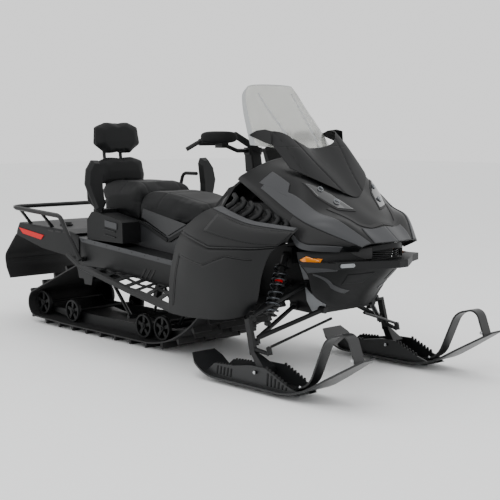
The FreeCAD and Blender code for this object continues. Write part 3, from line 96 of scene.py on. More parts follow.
# %% [markdown]
# ## One surface finish
# Moulded plastic, powder coat and vinyl all vary a little: slowly, over a hand's width, from
# handling and flow, and finely, from the grain of the mould. Two noise patterns give that.
# The slow one is 180 mm across and moves colour and roughness. The fine one only tilts the
# surface. Real grain is 0.1 to 0.4 mm wide, too fine to show, so it is drawn 0.7 to 1.8 mm
# wide. An image would do it too, but a pattern on object coordinates needs no file and has
# a true size.

# %% One surface finish
SLOW_MM = 180        # width of the slow variation
ROUGH_SWING = 0.06   # how far roughness moves to either side
GRAIN_DEPTH_MM = 0.3


def finish_of(name, code, rough, metal=0.0, grain_mm=1.2, bump=0.08, wear=0.12, coat=0.0, **more):
    """A finish: colour darkened by up to wear, roughness and slope, each following its noise."""
    mat = bpy.data.materials.new(name)
    mat.use_nodes = True
    tree = mat.node_tree
    shader = tree.nodes["Principled BSDF"]
    place = add_node(tree, "TexCoord").outputs["Object"]
    slow = add_node(tree, "TexNoise", Vector=place, Scale=1 / (SLOW_MM * MM), Detail=3.0)
    fine = add_node(tree, "TexNoise", Vector=place, Scale=1 / (grain_mm * MM), Detail=2.0)
    base = linear(code)
    tint = add_node(tree, "Mix", data_type="RGBA")
    tree.links.new(slow.outputs["Fac"], tint.inputs["Factor"])
    tint.inputs[6].default_value = tuple(c * (1 - wear) for c in base[:3]) + (1.0,)
    tint.inputs[7].default_value = base
    tree.links.new(tint.outputs[2], shader.inputs["Base Color"])
    spread = add_node(tree, "MapRange", Value=slow.outputs["Fac"])
    spread.inputs["To Min"].default_value = max(0.02, rough - ROUGH_SWING)
    spread.inputs["To Max"].default_value = min(1.0, rough + ROUGH_SWING)
    tree.links.new(spread.outputs["Result"], shader.inputs["Roughness"])
    shader.inputs["Metallic"].default_value = metal
    shader.inputs["Coat Weight"].default_value = coat
    for key, value in more.items():
        shader.inputs[key.replace("_", " ")].default_value = value
    if bump:
        deep = GRAIN_DEPTH_MM * MM
        grain = add_node(tree, "Bump", Height=fine.outputs["Fac"], Strength=bump, Distance=deep)
        tree.links.new(grain.outputs["Normal"], shader.inputs["Normal"])
    return mat


MATS = {}
print("slow pattern", SLOW_MM, "mm wide, grain up to", GRAIN_DEPTH_MM, "mm deep")

# %% [markdown]
# ## Plastics and rubbers
# Most of this machine is injection-moulded polypropylene, dyed black all through. Its spark
# eroded mould leaves a fine matt grain, so highlights are wide and dull. Rubber is duller
# still. The differences between these blacks are small, and they are what lets the eye tell
# one panel from the next.

# %% Plastics and rubbers
# Track belt and recesses: carbon-black rubber that gives back almost no highlight
MATS["belt"] = finish_of("belt rubber", "141415", 0.62, grain_mm=0.8, bump=0.15)
# Bumper, boxes and guards: coarse grained moulding with a low, broad sheen
MATS["black_plastic"] = finish_of("black moulding", "0e0f10", 0.52, Specular_IOR_Level=0.25,
                                  grain_mm=0.9, bump=0.12)
# Hood and side covers: smoother moulding whose highlight shows the bend of the panel
MATS["panel_plastic"] = finish_of("dark panel", "0b0c0d", 0.40, Specular_IOR_Level=0.28,
                                  grain_mm=1.5, bump=0.03)
# Seat base and side plates: the same moulding in dark grey
MATS["grey_trim"] = finish_of("grey trim", "242527", 0.45, grain_mm=1.5, bump=0.04)
# Strips and plates on the hood: a lighter satin grey that draws its lines
MATS["strip_plastic"] = finish_of("satin strip", "3c3d3f", 0.42, Specular_IOR_Level=0.28,
                                  grain_mm=1.5, bump=0.03)
# Skis: dense polyethylene, polished by snow, so a little shinier
MATS["ski_plastic"] = finish_of("ski moulding", "1d1e1f", 0.36, Specular_IOR_Level=0.4,
                                grain_mm=1.5, bump=0.04)
# Grips and flap ribs: soft rubber with a dry look
MATS["grip_rubber"] = finish_of("ribbed rubber", "151516", 0.66, grain_mm=1.0, bump=0.2)
# Cushions: vinyl with a pressed leather grain of 1.8 mm, which breaks every highlight up
MATS["seat_cover"] = finish_of("grained vinyl", "101112", 0.6, Specular_IOR_Level=0.2,
                               grain_mm=1.8, bump=0.25)
print(len(MATS), "plastics and rubbers")

# %% [markdown]
# ## Metals
# Powder coat is a baked paint, so it is set up as a rough plastic and not as a metal. Bare
# alloy and steel are metallic, where the colour tints the reflection itself.

# %% Metals
# Frame tubes: black powder coat with a slight orange peel
MATS["black_metal"] = finish_of("black powder coat", "0f1011", 0.45, Specular_IOR_Level=0.3,
                                grain_mm=0.7, bump=0.08)
# Tag and lamp rings: brushed aluminium with a soft reflection
MATS["bare_alloy"] = finish_of("brushed alloy", "8d9093", 0.38, metal=0.9, bump=0.04)
# Plates at the front frame: sand-cast aluminium, pale and grainy
MATS["cast_alloy"] = finish_of("cast alloy", "a4a7aa", 0.48, metal=0.75, grain_mm=0.8, bump=0.15)
# Bolts: bright zinc-plated steel with small sharp highlights
MATS["steel"] = finish_of("bright steel", "c4c6c8", 0.24, metal=1.0, bump=0.02)
# Coils: oiled spring steel, dark with a narrow bright line along each turn
MATS["spring_steel"] = finish_of("spring steel", "4c4f53", 0.24, metal=0.7, grain_mm=0.8, bump=0.03)
print(len(MATS), "finishes with the metals")

# %% [markdown]
# ## Screen and lenses
# The screen is acrylic sheet, bent while hot, and its index of refraction is 1.49. It lets
# most light through and scatters a little, so it reads as pale grey. The lenses are dyed and
# moulded from the same. They could be made clear with a bulb behind, but from outside they
# look like solid colour under a glossy skin, which a coat gives at less cost.

# %% Screen and lenses
# Screen: polished acrylic, see-through, a little milky, with a soft reflection of the sky
MATS["clear_screen"] = finish_of("clear sheet", "c6c7c3", 0.16, bump=0.0, wear=0.0,
                                 Transmission_Weight=0.72, Specular_IOR_Level=0.3, IOR=1.49)
# Its edge: ground matt, so that it shows as a darker band; the same darker band along the folds is painted
# shade in the crease
MATS["frosted_rim"] = finish_of("frosted rim and painted fold shade", "a9acad", 0.5, bump=0.0, wear=0.0,
                                Transmission_Weight=0.3, IOR=1.49)
# Lamp glass of the solids: clear and sharp
MATS["lamp_clear"] = finish_of("clear lamp cover", "7d848a", 0.03, bump=0.0, wear=0.0,
                               Transmission_Weight=1.0, IOR=1.49)
# Cover over the headlamps: smoked, with a hard bright reflection
MATS["lamp_smoke"] = finish_of("smoked lamp cover", "17191b", 0.06, bump=0.0, wear=0.0, coat=1.0)
# Tail lamps, rear reflectors and spring collars: red, with a faint painted glow that stands in for light
# caught inside
MATS["lamp_red"] = finish_of("red lens", "c40c10", 0.3, bump=0.0, Specular_IOR_Level=0.2,
                             Emission_Color=(0.8, 0.01, 0.01, 1), Emission_Strength=0.12)
# Side markers: amber under a glossy skin
MATS["lamp_amber"] = finish_of("amber lens", "e8860c", 0.16, bump=0.0, coat=0.6)
print(len(MATS), "finishes in all")

# %% [markdown]
# ## Finishes on the solids
# The solids' meshes stay as they are. They only get a finish and smooth shading that stops
# at sharp edges. Tubes of few sides meet at 60 degrees, so they are smoothed past that angle,
# while folded plates keep every edge above 40 degrees.

# %% Finishes on the solids
TUBE_EDGE = 66.0
PLATE_EDGE = 40.0
TUBES = {
    "rear_rack", "backrest_post", "handlebar", "right_passenger_grip", "left_passenger_grip",
    "upper_arms", "lower_arms", "right_tie_rod", "left_tie_rod", "right_spindle", "left_spindle",
    "front_shocks", "slide_shocks", "right_ski_runner", "left_ski_runner",
}
OTHER_FINISH = {
    "bulkhead": "black_metal", "engine_block": "black_metal",
    "right_tie_rod": "black_metal", "left_tie_rod": "black_metal", "edge_rails": "strip_plastic",
    "right_ski": "ski_plastic", "left_ski": "ski_plastic",
    "right_ski_loop": "ski_plastic", "left_ski_loop": "ski_plastic",
}


def shade(mesh, degrees):
    """Smooth shading that keeps edges sharper than an angle. Only shading changes."""
    if mesh.has_custom_normals:
        mesh.normals_split_custom_set([(0, 0, 0)] * len(mesh.loops))
    mesh.shade_smooth()
    mesh.set_sharp_from_angle(angle=math.radians(degrees))


for part in frame["record"]["subparts"]:
    node = part["node"]
    solid = frame["nodes"][node].data
    solid.materials.clear()
    solid.materials.append(MATS[OTHER_FINISH.get(node, part["material_slot"])])
for node, piece in frame["nodes"].items():
    shade(piece.data, TUBE_EDGE if node in TUBES else PLATE_EDGE)
print(len(frame["nodes"]), "solids dressed")

# %% [markdown]
# ## Sewn lines
# The four cushions are vinyl sewn over foam, and each seam pulls the cover down into a
# narrow valley. Faces laid along every valley would tie the mesh to the seams. Here a seam
# only says how far each point is from its line, and a bell curve of that distance says how
# deep the point is pushed: most on the line, and nothing a few widths away.

# %% Sewn lines
FAR_MM = 99.0  # the distance given to points that a seam leaves alone
SEAT_TOP, REAR_TOP = 745, 850  # z above which points belong to a seat's top


def groove(co, normal, offset, width, depth):
    """Push points in along their normals by depth times a bell curve of the distance from a line."""
    return co - normal * (depth * np.exp(-(offset / width) ** 2))[:, None]


def seat_seams(p):
    """Distances from two lines along the top, one across it and one round the side."""
    top = p[:, 2] > SEAT_TOP
    along = np.abs(np.abs(p[:, 1]) - 118)
    across = p[:, 0] + 130 + 0.1 * np.abs(p[:, 1])
    return [(np.where(top, along, FAR_MM), 5.0, 4.0), (np.where(top, across, FAR_MM), 5.0, 4.0),
            (np.abs(p[:, 2] - 735 + 0.18 * p[:, 0]), 4.0, 3.5)]


def rear_seams(p):
    """Distances from two lines along the passenger's top, one round the side and one across."""
    top = p[:, 2] > REAR_TOP
    along = np.abs(p[:, 1]) - 120
    return [(np.where(top, along, FAR_MM), 5.0, 4.0), (np.abs(p[:, 2] - 800), 4.0, 3.5),
            (np.where(top, p[:, 0] + 505, FAR_MM), 5.0, 3.0)]


def pad_seams(p):
    """Distance from the leaning plane half way through an upright pad's thickness."""
    return [(p[:, 0] + 0.12 * (p[:, 2] - p[:, 2].mean()) - p[:, 0].mean(), 4.0, 4.0)]


print("a seam 4 mm deep is", round(4 * math.exp(-1), 2), "mm deep one width from its line")

# %% [markdown]
# ## Stuffing
# Foam presses its cover out until the stitching holds it, so flat sides belly and corners
# round off. Bevels can't do that evenly. A short cloth simulation can: pressure from inside,
# no gravity, and 20 frames. The cloth is then smoothed, because it wrinkles more finely than
# foam would allow.

# %% Stuffing
PRESSURE = 3.0
FRAMES = 20


def stuffed(pad):
    """Blow the active mesh up as cloth under pressure, then even it out by repeated averaging."""
    cloth = pad.modifiers.new("stuffing", "CLOTH")
    cloth.settings.use_pressure = True
    cloth.settings.uniform_pressure_force = PRESSURE
    cloth.settings.effector_weights.gravity = 0.0
    cloth.settings.quality = 4
    cloth.point_cache.frame_start = 1
    cloth.point_cache.frame_end = FRAMES
    scene = bpy.context.scene
    for number in range(1, FRAMES + 1):
        scene.frame_set(number)
    bpy.ops.object.modifier_apply(modifier="stuffing")
    calm = pad.modifiers.new("calm", "SMOOTH")
    calm.factor = 0.5
    calm.iterations = 14
    bpy.ops.object.modifier_apply(modifier="calm")
    scene.frame_set(1)


print("cloth under a pressure of", PRESSURE, "for", FRAMES, "frames")

# %% [markdown]
# ## Cushions
# Driver's seat, passenger's seat, back pad and head pad all start from their solids, so they
# sit exactly where those sit. The solid is drawn in by a few millimetres, its faces are made
# even, and it is stuffed. How far a point may move is capped, and nothing leaves the solid's
# box, so the cushion still rests on what carries it.

# %% Cushions


def numbers(mesh, what):
    """One value of three numbers for each vertex: its place or its normal."""
    flat = np.empty(len(mesh.vertices) * 3)
    mesh.vertices.foreach_get(what, flat)
    return flat.reshape(-1, 3)


def cushion(node, margin, voxel, cap, seams):
    """A solid shrunk about its middle, stuffed, each move cut off at cap, and pressed in at seams."""
    low, high = (np.array(v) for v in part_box(node))
    pad = bpy.data.objects.new(node + "_pad", frame["nodes"][node].data.copy())
    bpy.context.scene.collection.objects.link(pad)
    middle = (low + high) / 2
    co = middle + (numbers(pad.data, "co") - middle) * (1 - 2 * margin * MM / (high - low))
    pad.data.vertices.foreach_set("co", co.ravel())
    bpy.context.view_layer.objects.active = pad
    remesh = pad.modifiers.new("even", "REMESH")
    remesh.mode = "VOXEL"
    remesh.voxel_size = voxel * MM
    bpy.ops.object.modifier_apply(modifier="even")
    start = numbers(pad.data, "co")
    stuffed(pad)
    moved = numbers(pad.data, "co") - start
    far = np.linalg.norm(moved, axis=1, keepdims=True)
    now = start + moved * np.minimum(1.0, cap * MM / np.maximum(far, 1e-9))
    normal = numbers(pad.data, "normal")
    for offset, width, depth in seams(now / MM):
        now = groove(now, normal, offset, width, depth * MM)
    now = np.clip(now, low + 0.5 * MM, high - 0.5 * MM)
    pad.data.vertices.foreach_set("co", now.ravel())
    pad.data.materials.clear()
    pad.data.materials.append(MATS["seat_cover"])
    pad.data.shade_smooth()
    finer = pad.modifiers.new("finer", "SUBSURF")
    finer.levels = 1
    finer.render_levels = 1
    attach(pad, "chassis")
    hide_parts(node)
    print(f"{node}_pad: {len(now)} points, moved by up to {far.max() / MM:.1f} mm before the cap")


cushion("seat", 5.0, 9.0, 12.0, seat_seams)
cushion("passenger_seat", 5.0, 9.0, 12.0, rear_seams)
cushion("head_pad", 4.0, 6.0, 12.0, pad_seams)
cushion("lumbar_pad", 4.0, 6.0, 12.0, pad_seams)

# %% [markdown]
# ## Splines through measured points
# A moulded hood is one smooth skin with soft ridges. It could be sculpted, or subdivided from
# a cage, but a cage shrinks away from its own corners. A Catmull-Rom spline passes through
# every control point, so the skin meets the places that were measured. Each point of it is a
# weighted sum of control points, and one product of arrays works all of them out.

# %% Splines through measured points


def spline_weights(count, t):
    """Weights of count control points at places t: a cubic in the fraction of t, held at the ends."""
    k = np.clip(t.astype(int), 0, count - 2)
    f = t - k
    basis = 0.5 * np.stack([
        -f + 2 * f**2 - f**3, 2 - 5 * f**2 + 3 * f**3,
        f + 4 * f**2 - 3 * f**3, f**3 - f**2], 1)
    weights = np.zeros((len(t), count))
    rows = np.arange(len(t))
    for j in range(4):
        np.add.at(weights, (rows, np.clip(k + j - 1, 0, count - 1)), basis[:, j])
    return weights


def patch(rows, u, v):
    """A grid of points: weights along rows at u, times weights along columns at v, times the net."""
    net = np.asarray(rows, float)
    return np.einsum("ui,vj,ijk->uvk", spline_weights(len(net), u), spline_weights(len(net[0]), v), net)


def doubled(rows):
    """Rows from the middle plane to the right, with their mirror image: right edge first."""
    net = np.asarray(rows, float)
    return np.concatenate([net[:, ::-1], net[:, 1:] * [1, -1, 1]], axis=1)


print("half way between the middle two of four points:", spline_weights(4, np.array([1.5])).tolist())

# %% [markdown]
# ## From numbers to a piece
# A piece is a list of points and a list of faces, and Blender takes both as they are. Closed
# forms get their faces turned outwards. Then every piece is attached to the body it rides on,
# takes its finish, and hides the solids it stands for.

# %% From numbers to a piece
PIECE_EDGE = 45.0


def make_piece(name, points, faces, mat, body="chassis", stands_for=(), closed=True):
    """An object from points in millimetres and a list of faces, riding on one body."""
    mesh = bpy.data.meshes.new(name)
    mesh.from_pydata((np.asarray(points, float) * MM).tolist(), [], faces)
    if closed:
        form = bmesh.new()
        form.from_mesh(mesh)
        bmesh.ops.recalc_face_normals(form, faces=form.faces)
        form.to_mesh(mesh)
        form.free()
    mesh.update()
    thing = bpy.data.objects.new(name, mesh)
    bpy.context.scene.collection.objects.link(thing)
    mesh.materials.append(MATS[mat])
    shade(mesh, PIECE_EDGE)
    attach(thing, body)
    if stands_for:
        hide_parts(*stands_for)
    print(f"{name}: {len(points)} points, {len(faces)} faces, {mat}")
    return thing


print("edges sharper than", PIECE_EDGE, "degrees stay sharp on every piece")

# %% [markdown]
# ## Moulded sheets
# Panels of this kind are about 3 mm thick all over, because plastic of even thickness cools
# without warping. So the outer skin is a grid, and the Solidify modifier gives it its wall on
# the inner side. Cells can be left out where a panel has an opening.

# %% Moulded sheets
WALL_MM = 3.0


def normals_of(grid):
    """Unit normals of a grid: the cross product of its two directions, divided by its length."""
    n = np.cross(np.gradient(grid, axis=0), np.gradient(grid, axis=1))
    return n / np.maximum(np.linalg.norm(n, axis=2, keepdims=True), 1e-9)


def grid_faces(nu, nv):
    """Four-sided faces of a grid of nu by nv points, as an array of nu - 1 by nv - 1 by 4."""
    i, j = np.meshgrid(np.arange(nu - 1), np.arange(nv - 1), indexing="ij")
    a = i * nv + j
    return np.stack([a, a + nv, a + nv + 1, a + 1], -1)


def sheet(name, grid, thick, mat, keep=None, stands_for=()):
    """A grid with a wall behind it, thick along its normals. Cells where keep is false are left out."""
    nu, nv = grid.shape[:2]
    faces = grid_faces(nu, nv)
    chosen = faces.reshape(-1, 4) if keep is None else faces[keep]
    points = grid.reshape(-1, 3)
    thing = make_piece(name, points, chosen.tolist(), mat, stands_for=stands_for, closed=False)
    wall = thing.modifiers.new("wall", "SOLIDIFY")
    wall.thickness = thick * MM
    wall.offset = -1.0
    return thing


print("a grid of 3 by 4 points has", len(grid_faces(3, 4).reshape(-1, 4)), "faces")

# %% [markdown]
# ## Hood
# The hood falls from the screen to the nose with a flat crown, a ridge on each side and
# steep flanks. Six rows of points run from back to front, each from the middle to the right
# edge, and the left half is their mirror image. The skin between them takes the place of the
# faceted solid.

# %% Hood
HOOD = doubled([
    [(815, 0, 1082), (790, -120, 1075), (745, -232, 1048), (645, -300, 985), (612, -300, 960)],
    [(965, 0, 1008), (950, -118, 1004), (902, -244, 1002), (802, -320, 925), (780, -326, 884)],
    [(1092, 0, 908), (1076, -104, 914), (1006, -240, 950), (958, -331, 848), (925, -342, 806)],
    [(1202, 0, 822), (1190, -104, 826), (1124, -240, 836), (1086, -336, 790), (1032, -345, 700)],
    [(1302, 0, 752), (1278, -110, 752), (1236, -228, 786), (1184, -312, 752), (1104, -330, 652)],
    [(1379, 0, 690), (1362, -80, 688), (1348, -152, 686), (1334, -192, 674), (1284, -165, 645)],
])
hood = patch(HOOD, np.linspace(0, 5, 72), np.linspace(0, 8, 100))
sheet("hood_shell", hood, WALL_MM, "panel_plastic", stands_for=["hood"])

# %% [markdown]
# ## Visor before the screen
# A dark collar rises from the hood round the foot of the screen and ends in two raised ears.
# Creases stiffen it. They are pressed into the grid as the seams were: distance from a line,
# a bell curve of it, and a push along the normal. The middle takes the solid's place, and
# the ears, which stand higher than the solid, are a piece of their own.

# %% Visor before the screen
VISOR = doubled([
    [(835, 0, 1112), (864, -108, 1136), (812, -192, 1190), (736, -250, 1200)],
    [(930, 0, 1045), (938, -98, 1066), (884, -195, 1124), (802, -252, 1136)],
    [(1035, 0, 965), (1020, -88, 988), (950, -200, 1048), (868, -253, 1078)],
    [(1126, 0, 884), (1094, -85, 918), (1012, -198, 980), (924, -250, 1023)],
])
EAR_Z = 1125  # cells that reach this height belong to the ears


def grooves(grid, u, v, lines, width, depth):
    """Press a grid in by depth times a bell curve of the distance from lines of (row, column) ends."""
    uu, vv = np.meshgrid(u, v, indexing="ij")
    press = np.zeros_like(uu)
    for (ua, va), (ub, vb) in lines:
        du, dv = ub - ua, vb - va
        s = np.clip(((uu - ua) * du + (vv - va) * dv) / (du * du + dv * dv), 0, 1)
        far = np.hypot(uu - ua - s * du, vv - va - s * dv)
        press = np.maximum(press, np.exp(-(far / width) ** 2))
    return grid - normals_of(grid) * (press * depth)[..., None]


u = np.linspace(0, 3, 60)
v = np.linspace(0, 6, 96)
visor = grooves(patch(VISOR, u, v), u, v, [((0, 1.5), (3, 2.2)), ((0, 4.5), (3, 3.8))], 0.05, 5.0)
visor = grooves(visor, u, v, [((0, 0.55), (3, 0.9)), ((0, 5.45), (3, 5.1))], 0.03, 3.0)
height = visor[..., 2]
top = np.maximum.reduce([height[1:, 1:], height[:-1, 1:], height[1:, :-1], height[:-1, :-1]])
sheet("visor_shell", visor, 4.0, "black_plastic", keep=top < EAR_Z, stands_for=["cowl"])
sheet("visor_ears", visor, 4.0, "black_plastic", keep=top >= EAR_Z)

# %% [markdown]
# ## Nose
# Below the hood's lip the nose turns back under the machine, and the mouth between the lamps
# lets air in. Cutting the hole afterwards would leave ragged edges, so lines of the grid are
# moved onto the mouth's edges first, and the cells inside it are left out.

# %% Nose
FASCIA = doubled([
    [(1372, 0, 686), (1282, -150, 662), (1172, -250, 649), (1058, -343, 641)],
    [(1370, 0, 618), (1284, -150, 602), (1186, -250, 596), (1076, -343, 590)],
    [(1330, 0, 560), (1262, -150, 548), (1180, -230, 540), (1090, -300, 530)],
    [(1180, 0, 430), (1140, -140, 425), (1106, -200, 425), (1086, -262, 440)],
    [(1112, 0, 352), (1112, -90, 352), (1108, -165, 372), (1090, -215, 400)],
])
MOUTH_ROWS = (0.47, 1.0)
MOUTH_COLUMNS = (2.15, 3.85)


def spread(first, last, *others, steps):
    """Even places from first to last, with the nearest ones moved onto the other values given."""
    t = np.linspace(first, last, steps)
    for value in others:
        t[np.argmin(np.abs(t - value))] = value
    return t


def cell_middles(u, v):
    """Row and column of the middle of every cell: means of neighbouring grid lines."""
    return np.meshgrid((u[1:] + u[:-1]) / 2, (v[1:] + v[:-1]) / 2, indexing="ij")


u = spread(0, 4, *MOUTH_ROWS, steps=70)
v = spread(0, 6, *MOUTH_COLUMNS, steps=96)
uu, vv = cell_middles(u, v)
mouth = (uu > MOUTH_ROWS[0]) & (uu < MOUTH_ROWS[1]) & (vv > MOUTH_COLUMNS[0]) & (vv < MOUTH_COLUMNS[1])
sheet("nose_shell", patch(FASCIA, u, v), WALL_MM, "black_plastic", keep=~mouth, stands_for=["nose_fascia"])
print(int(mouth.sum()), "cells left out for the mouth")

# %% [markdown]
# ## Screen
# The screen is one bent sheet with a fold on each side that keeps it from fluttering. Its
# top and side edges are matt, and look darker than the clear part. Along each fold the same
# darker matt band is painted shade in the crease. They could be separate strips. Giving the
# cells near the edge and on the folds a second material keeps it one sheet, as the real one is.

# %% Screen
SCREEN = doubled([
    [(548, 0, 1433), (545, -80, 1432), (541, -140, 1428), (534, -161, 1420)],
    [(578, 0, 1392), (574, -90, 1391), (566, -160, 1388), (536, -199, 1378)],
    [(650, 0, 1306), (645, -100, 1304), (622, -182, 1302), (571, -226, 1300)],
    [(722, 0, 1222), (714, -110, 1222), (678, -205, 1222), (618, -250, 1222)],
    [(808, 0, 1110), (800, -120, 1112), (740, -225, 1122), (676, -277, 1130)],
])
RIM_TOP = 0.16
RIM_SIDE = 0.42
FOLD_START = 1.6  # the fold's column at row 1; it moves inwards by 0.7 down to the foot

u = spread(0, 4, RIM_TOP, steps=56)
v = spread(0, 6, RIM_SIDE, 6 - RIM_SIDE, steps=72)
folds = [((1.0, FOLD_START), (4.0, 2.3)), ((1.0, 4.4), (4.0, 3.7))]
bent = grooves(patch(SCREEN, u, v), u, v, folds, 0.12, 5.0)
screen = sheet("screen_sheet", bent, WALL_MM, "clear_screen", stands_for=["windshield"])
screen.data.materials.append(MATS["frosted_rim"])
uu, vv = cell_middles(u, v)
# Cells along each fold take the darker matt finish as painted shade in the crease
fold = FOLD_START + (uu - 1) * 0.7 / 3
fold_shade_band = (uu > 1) & (np.abs(np.minimum(vv, 6 - vv) - fold) < 0.06)
rim = (uu < RIM_TOP) | (vv < RIM_SIDE) | (vv > 6 - RIM_SIDE) | fold_shade_band
screen.data.polygons.foreach_set("material_index", rim.astype(np.int32).ravel())
print(int(rim.sum()), "matt cells of", rim.size)

# %% [markdown]
# ## Side covers
# A tall cover on each side closes the engine bay and sweeps forward under the hood. A crease
# runs its whole length, and a seam marks the service panel. Both are grooves in the grid.
# The left cover is the right one's mirror image, with its columns in reverse order so that
# its faces still point outwards.

# %% Side covers
COVER = np.array([
    [(338, -521, 288), (350, -530, 400), (372, -528, 540),
     (430, -512, 700), (520, -452, 800), (596, -392, 836)],
    [(480, -521, 284), (500, -534, 400), (520, -544, 540),
     (560, -528, 690), (640, -462, 772), (690, -396, 806)],
    [(700, -510, 296), (700, -530, 400), (710, -540, 540),
     (740, -524, 660), (800, -464, 738), (820, -400, 776)],
    [(816, -470, 319), (840, -508, 410), (860, -516, 540),
     (890, -500, 640), (940, -450, 720), (950, -392, 766)],
    [(870, -440, 360), (926, -462, 418), (960, -468, 540),
     (1000, -452, 640), (1080, -420, 712), (1105, -376, 756)],
], float)
CREASE = [(0.0, 3.0), (1.6, 2.75), (2.7, 3.1), (4.0, 3.35)]
SEAM = [(0.35, 0.5), (0.45, 2.3), (1.5, 2.1), (2.3, 2.6), (3.3, 2.6)]


def pair_of_sheets(name, grid, thick, mat, stands_for=()):
    """A right-hand sheet and its mirror image, which has y negated and its columns reversed."""
    right = ["right_" + n for n in stands_for]
    left = ["left_" + n for n in stands_for]
    sheet(name + "_right", grid, thick, mat, stands_for=right)
    sheet(name + "_left", (grid * [1, -1, 1])[:, ::-1], thick, mat, stands_for=left)


def legs_of(path):
    """The straight legs of a path, as pairs of neighbouring places."""
    return list(zip(path, path[1:]))


u = np.linspace(0, 4, 150)
v = np.linspace(0, 5, 130)
cover = grooves(patch(COVER, u, v), u, v, legs_of(CREASE), 0.07, 9.0)
cover = grooves(cover, u, v, legs_of(SEAM), 0.026, 4.5)
pair_of_sheets("side_cover", cover, WALL_MM, "panel_plastic", stands_for=["side_panel"])

# %% [markdown]
# ## Raised bands
# Lighter strips and plates lie on the hood like inlays and follow its bend exactly. They
# could be modelled apart and fitted, but then each change of the hood would undo the fit.
# Instead a band is given by two lines on the hood, as (row, column) places. Its points are
# blended between the lines, found on the same spline, and lifted along the normals.

# %% Raised bands
ALONG, ACROSS = 60, 16  # points of a band


def points_on(rows, place):
    """Points of a shell at a grid of (row, column) places: row weights times column weights."""
    net = np.asarray(rows, float)
    u, v = place.reshape(-1, 2).T
    spots = np.einsum("ni,nj,ijk->nk", spline_weights(len(net), u), spline_weights(len(net[0]), v), net)
    return spots.reshape(place.shape[:2] + (3,))


def banded(name, rows, low, high, lift, mat, thick=7.0):
    """A band between two lines of a shell: each line evened out, blended straight, then lifted."""
    s = np.linspace(0, 1, ALONG)
    lines = []
    for line in (low, high):
        line = np.asarray(line, float)
        at = np.linspace(0, 1, len(line))
        lines.append(np.stack([np.interp(s, at, line[:, 0]), np.interp(s, at, line[:, 1])], -1))
    t = np.linspace(0, 1, ACROSS)[None, :, None]
    grid = points_on(rows, (1 - t) * lines[0][:, None] + t * lines[1][:, None])
    pair_of_sheets(name, grid + normals_of(grid) * lift, thick, mat)


STRIP_LOW = [(1.0, 0.98), (2.0, 0.98), (3.0, 0.98), (4.0, 0.98), (4.98, 0.98)]
STRIP_TOP = [(0.95, 1.28), (1.8, 1.45), (2.8, 1.68), (4.0, 1.9), (4.98, 2.0)]
banded("wing_strip", HOOD, STRIP_LOW, STRIP_TOP, 5.0, "strip_plastic")

# %% [markdown]
# ## Nose lines and cheeks
# The mouth's corners and the hollow under each strip are matt black bands of painted shade,
# so they read as depth without being deep. The crease under the chin is a satin grey band of
# painted highlight, so it reads as an edge, and the plate at the hood's edge is satin grey too.
# That is quicker than carving the shell, and the shell stays one whole surface.

# %% Nose lines and cheeks
# Matt black band of painted shade in each corner of the mouth
MOUTH_LOW = [(0.12, 1.55), (0.5, 1.75), (0.9, 2.14)]
MOUTH_TOP = [(0.12, 2.3), (0.5, 2.3), (0.9, 2.3)]
banded("mouth_side_shade", FASCIA, MOUTH_LOW, MOUTH_TOP, 2.5, "belt")
# Satin grey band of painted highlight along the crease under the chin
CHIN_LOW = [(2.0, 0.3), (2.6, 1.2), (2.9, 2.2)]
CHIN_TOP = [(1.9, 0.3), (2.48, 1.25), (2.78, 2.3)]
banded("chin_crease_highlight", FASCIA, CHIN_LOW, CHIN_TOP, 3.0, "strip_plastic")
# Matt black band of painted shade in the hollow under each strip
RECESS_LOW = [(2.6, 0.55), (3.2, 0.3), (4.0, 0.35), (4.7, 0.6)]
RECESS_TOP = [(2.6, 0.93), (3.2, 0.93), (4.0, 0.93), (4.8, 0.93)]
banded("cheek_recess_shade", HOOD, RECESS_LOW, RECESS_TOP, 2.0, "belt")
CHEEK_LOW = [(3.0, 0.02), (4.0, 0.02), (4.6, 0.02)]
CHEEK_TOP = [(3.0, 0.28), (4.0, 0.3), (4.6, 0.5)]
banded("cheek_plate", HOOD, CHEEK_LOW, CHEEK_TOP, 4.0, "strip_plastic")

# %% [markdown]
# ## Plates on the crown
# A grey plate ends the hood above the mouth, with a dark border behind it, and a grey
# shoulder starts beside the visor. A part of a shell that crosses the middle is still made
# as two halves. They meet on the middle plane, where column 4 lies.

# %% Plates on the crown
PLATE_LOW = [(4.1, 2.75), (4.6, 2.5), (4.97, 2.35)]
PLATE_TOP = [(4.0, 4.0), (4.5, 4.0), (4.97, 4.0)]
banded("nose_plate", HOOD, PLATE_LOW, PLATE_TOP, 4.0, "strip_plastic")
BORDER_LOW = [(3.0, 2.15), (3.88, 2.75), (4.0, 3.3), (3.86, 4.0)]
BORDER_TOP = [(2.93, 2.3), (3.74, 2.88), (3.84, 3.3), (3.7, 4.0)]
banded("nose_border", HOOD, BORDER_LOW, BORDER_TOP, 3.0, "belt")
SHOULDER_LOW = [(0.8, 1.15), (1.95, 1.36)]
SHOULDER_TOP = [(0.7, 1.72), (1.65, 1.68)]
banded("shoulder_plate", HOOD, SHOULDER_LOW, SHOULDER_TOP, 5.0, "strip_plastic")

# %% [markdown]
# ## Headlamp covers
# Each headlamp is a long leaf on the hood's flank: a dark bed, and a smoked cover inside it
# that follows the hood. Real optics lie deep below the cover. Seen from outside, the cover's
# one hard reflection is what says glass, so the cover is closed and very smooth.

# %% Headlamp covers
BED_LOW = [(1.92, 1.98), (2.5, 2.1), (3.02, 2.5)]
BED_TOP = [(1.94, 2.06), (2.3, 2.75), (3.02, 3.15)]
banded("lamp_bed", HOOD, BED_LOW, BED_TOP, 3.0, "belt")
GLASS_LOW = [(2.02, 2.02), (2.52, 2.16), (2.94, 2.52)]
GLASS_TOP = [(2.04, 2.08), (2.32, 2.7), (2.94, 3.08)]
banded("lamp_glass", HOOD, GLASS_LOW, GLASS_TOP, 5.0, "lamp_smoke", thick=2.0)
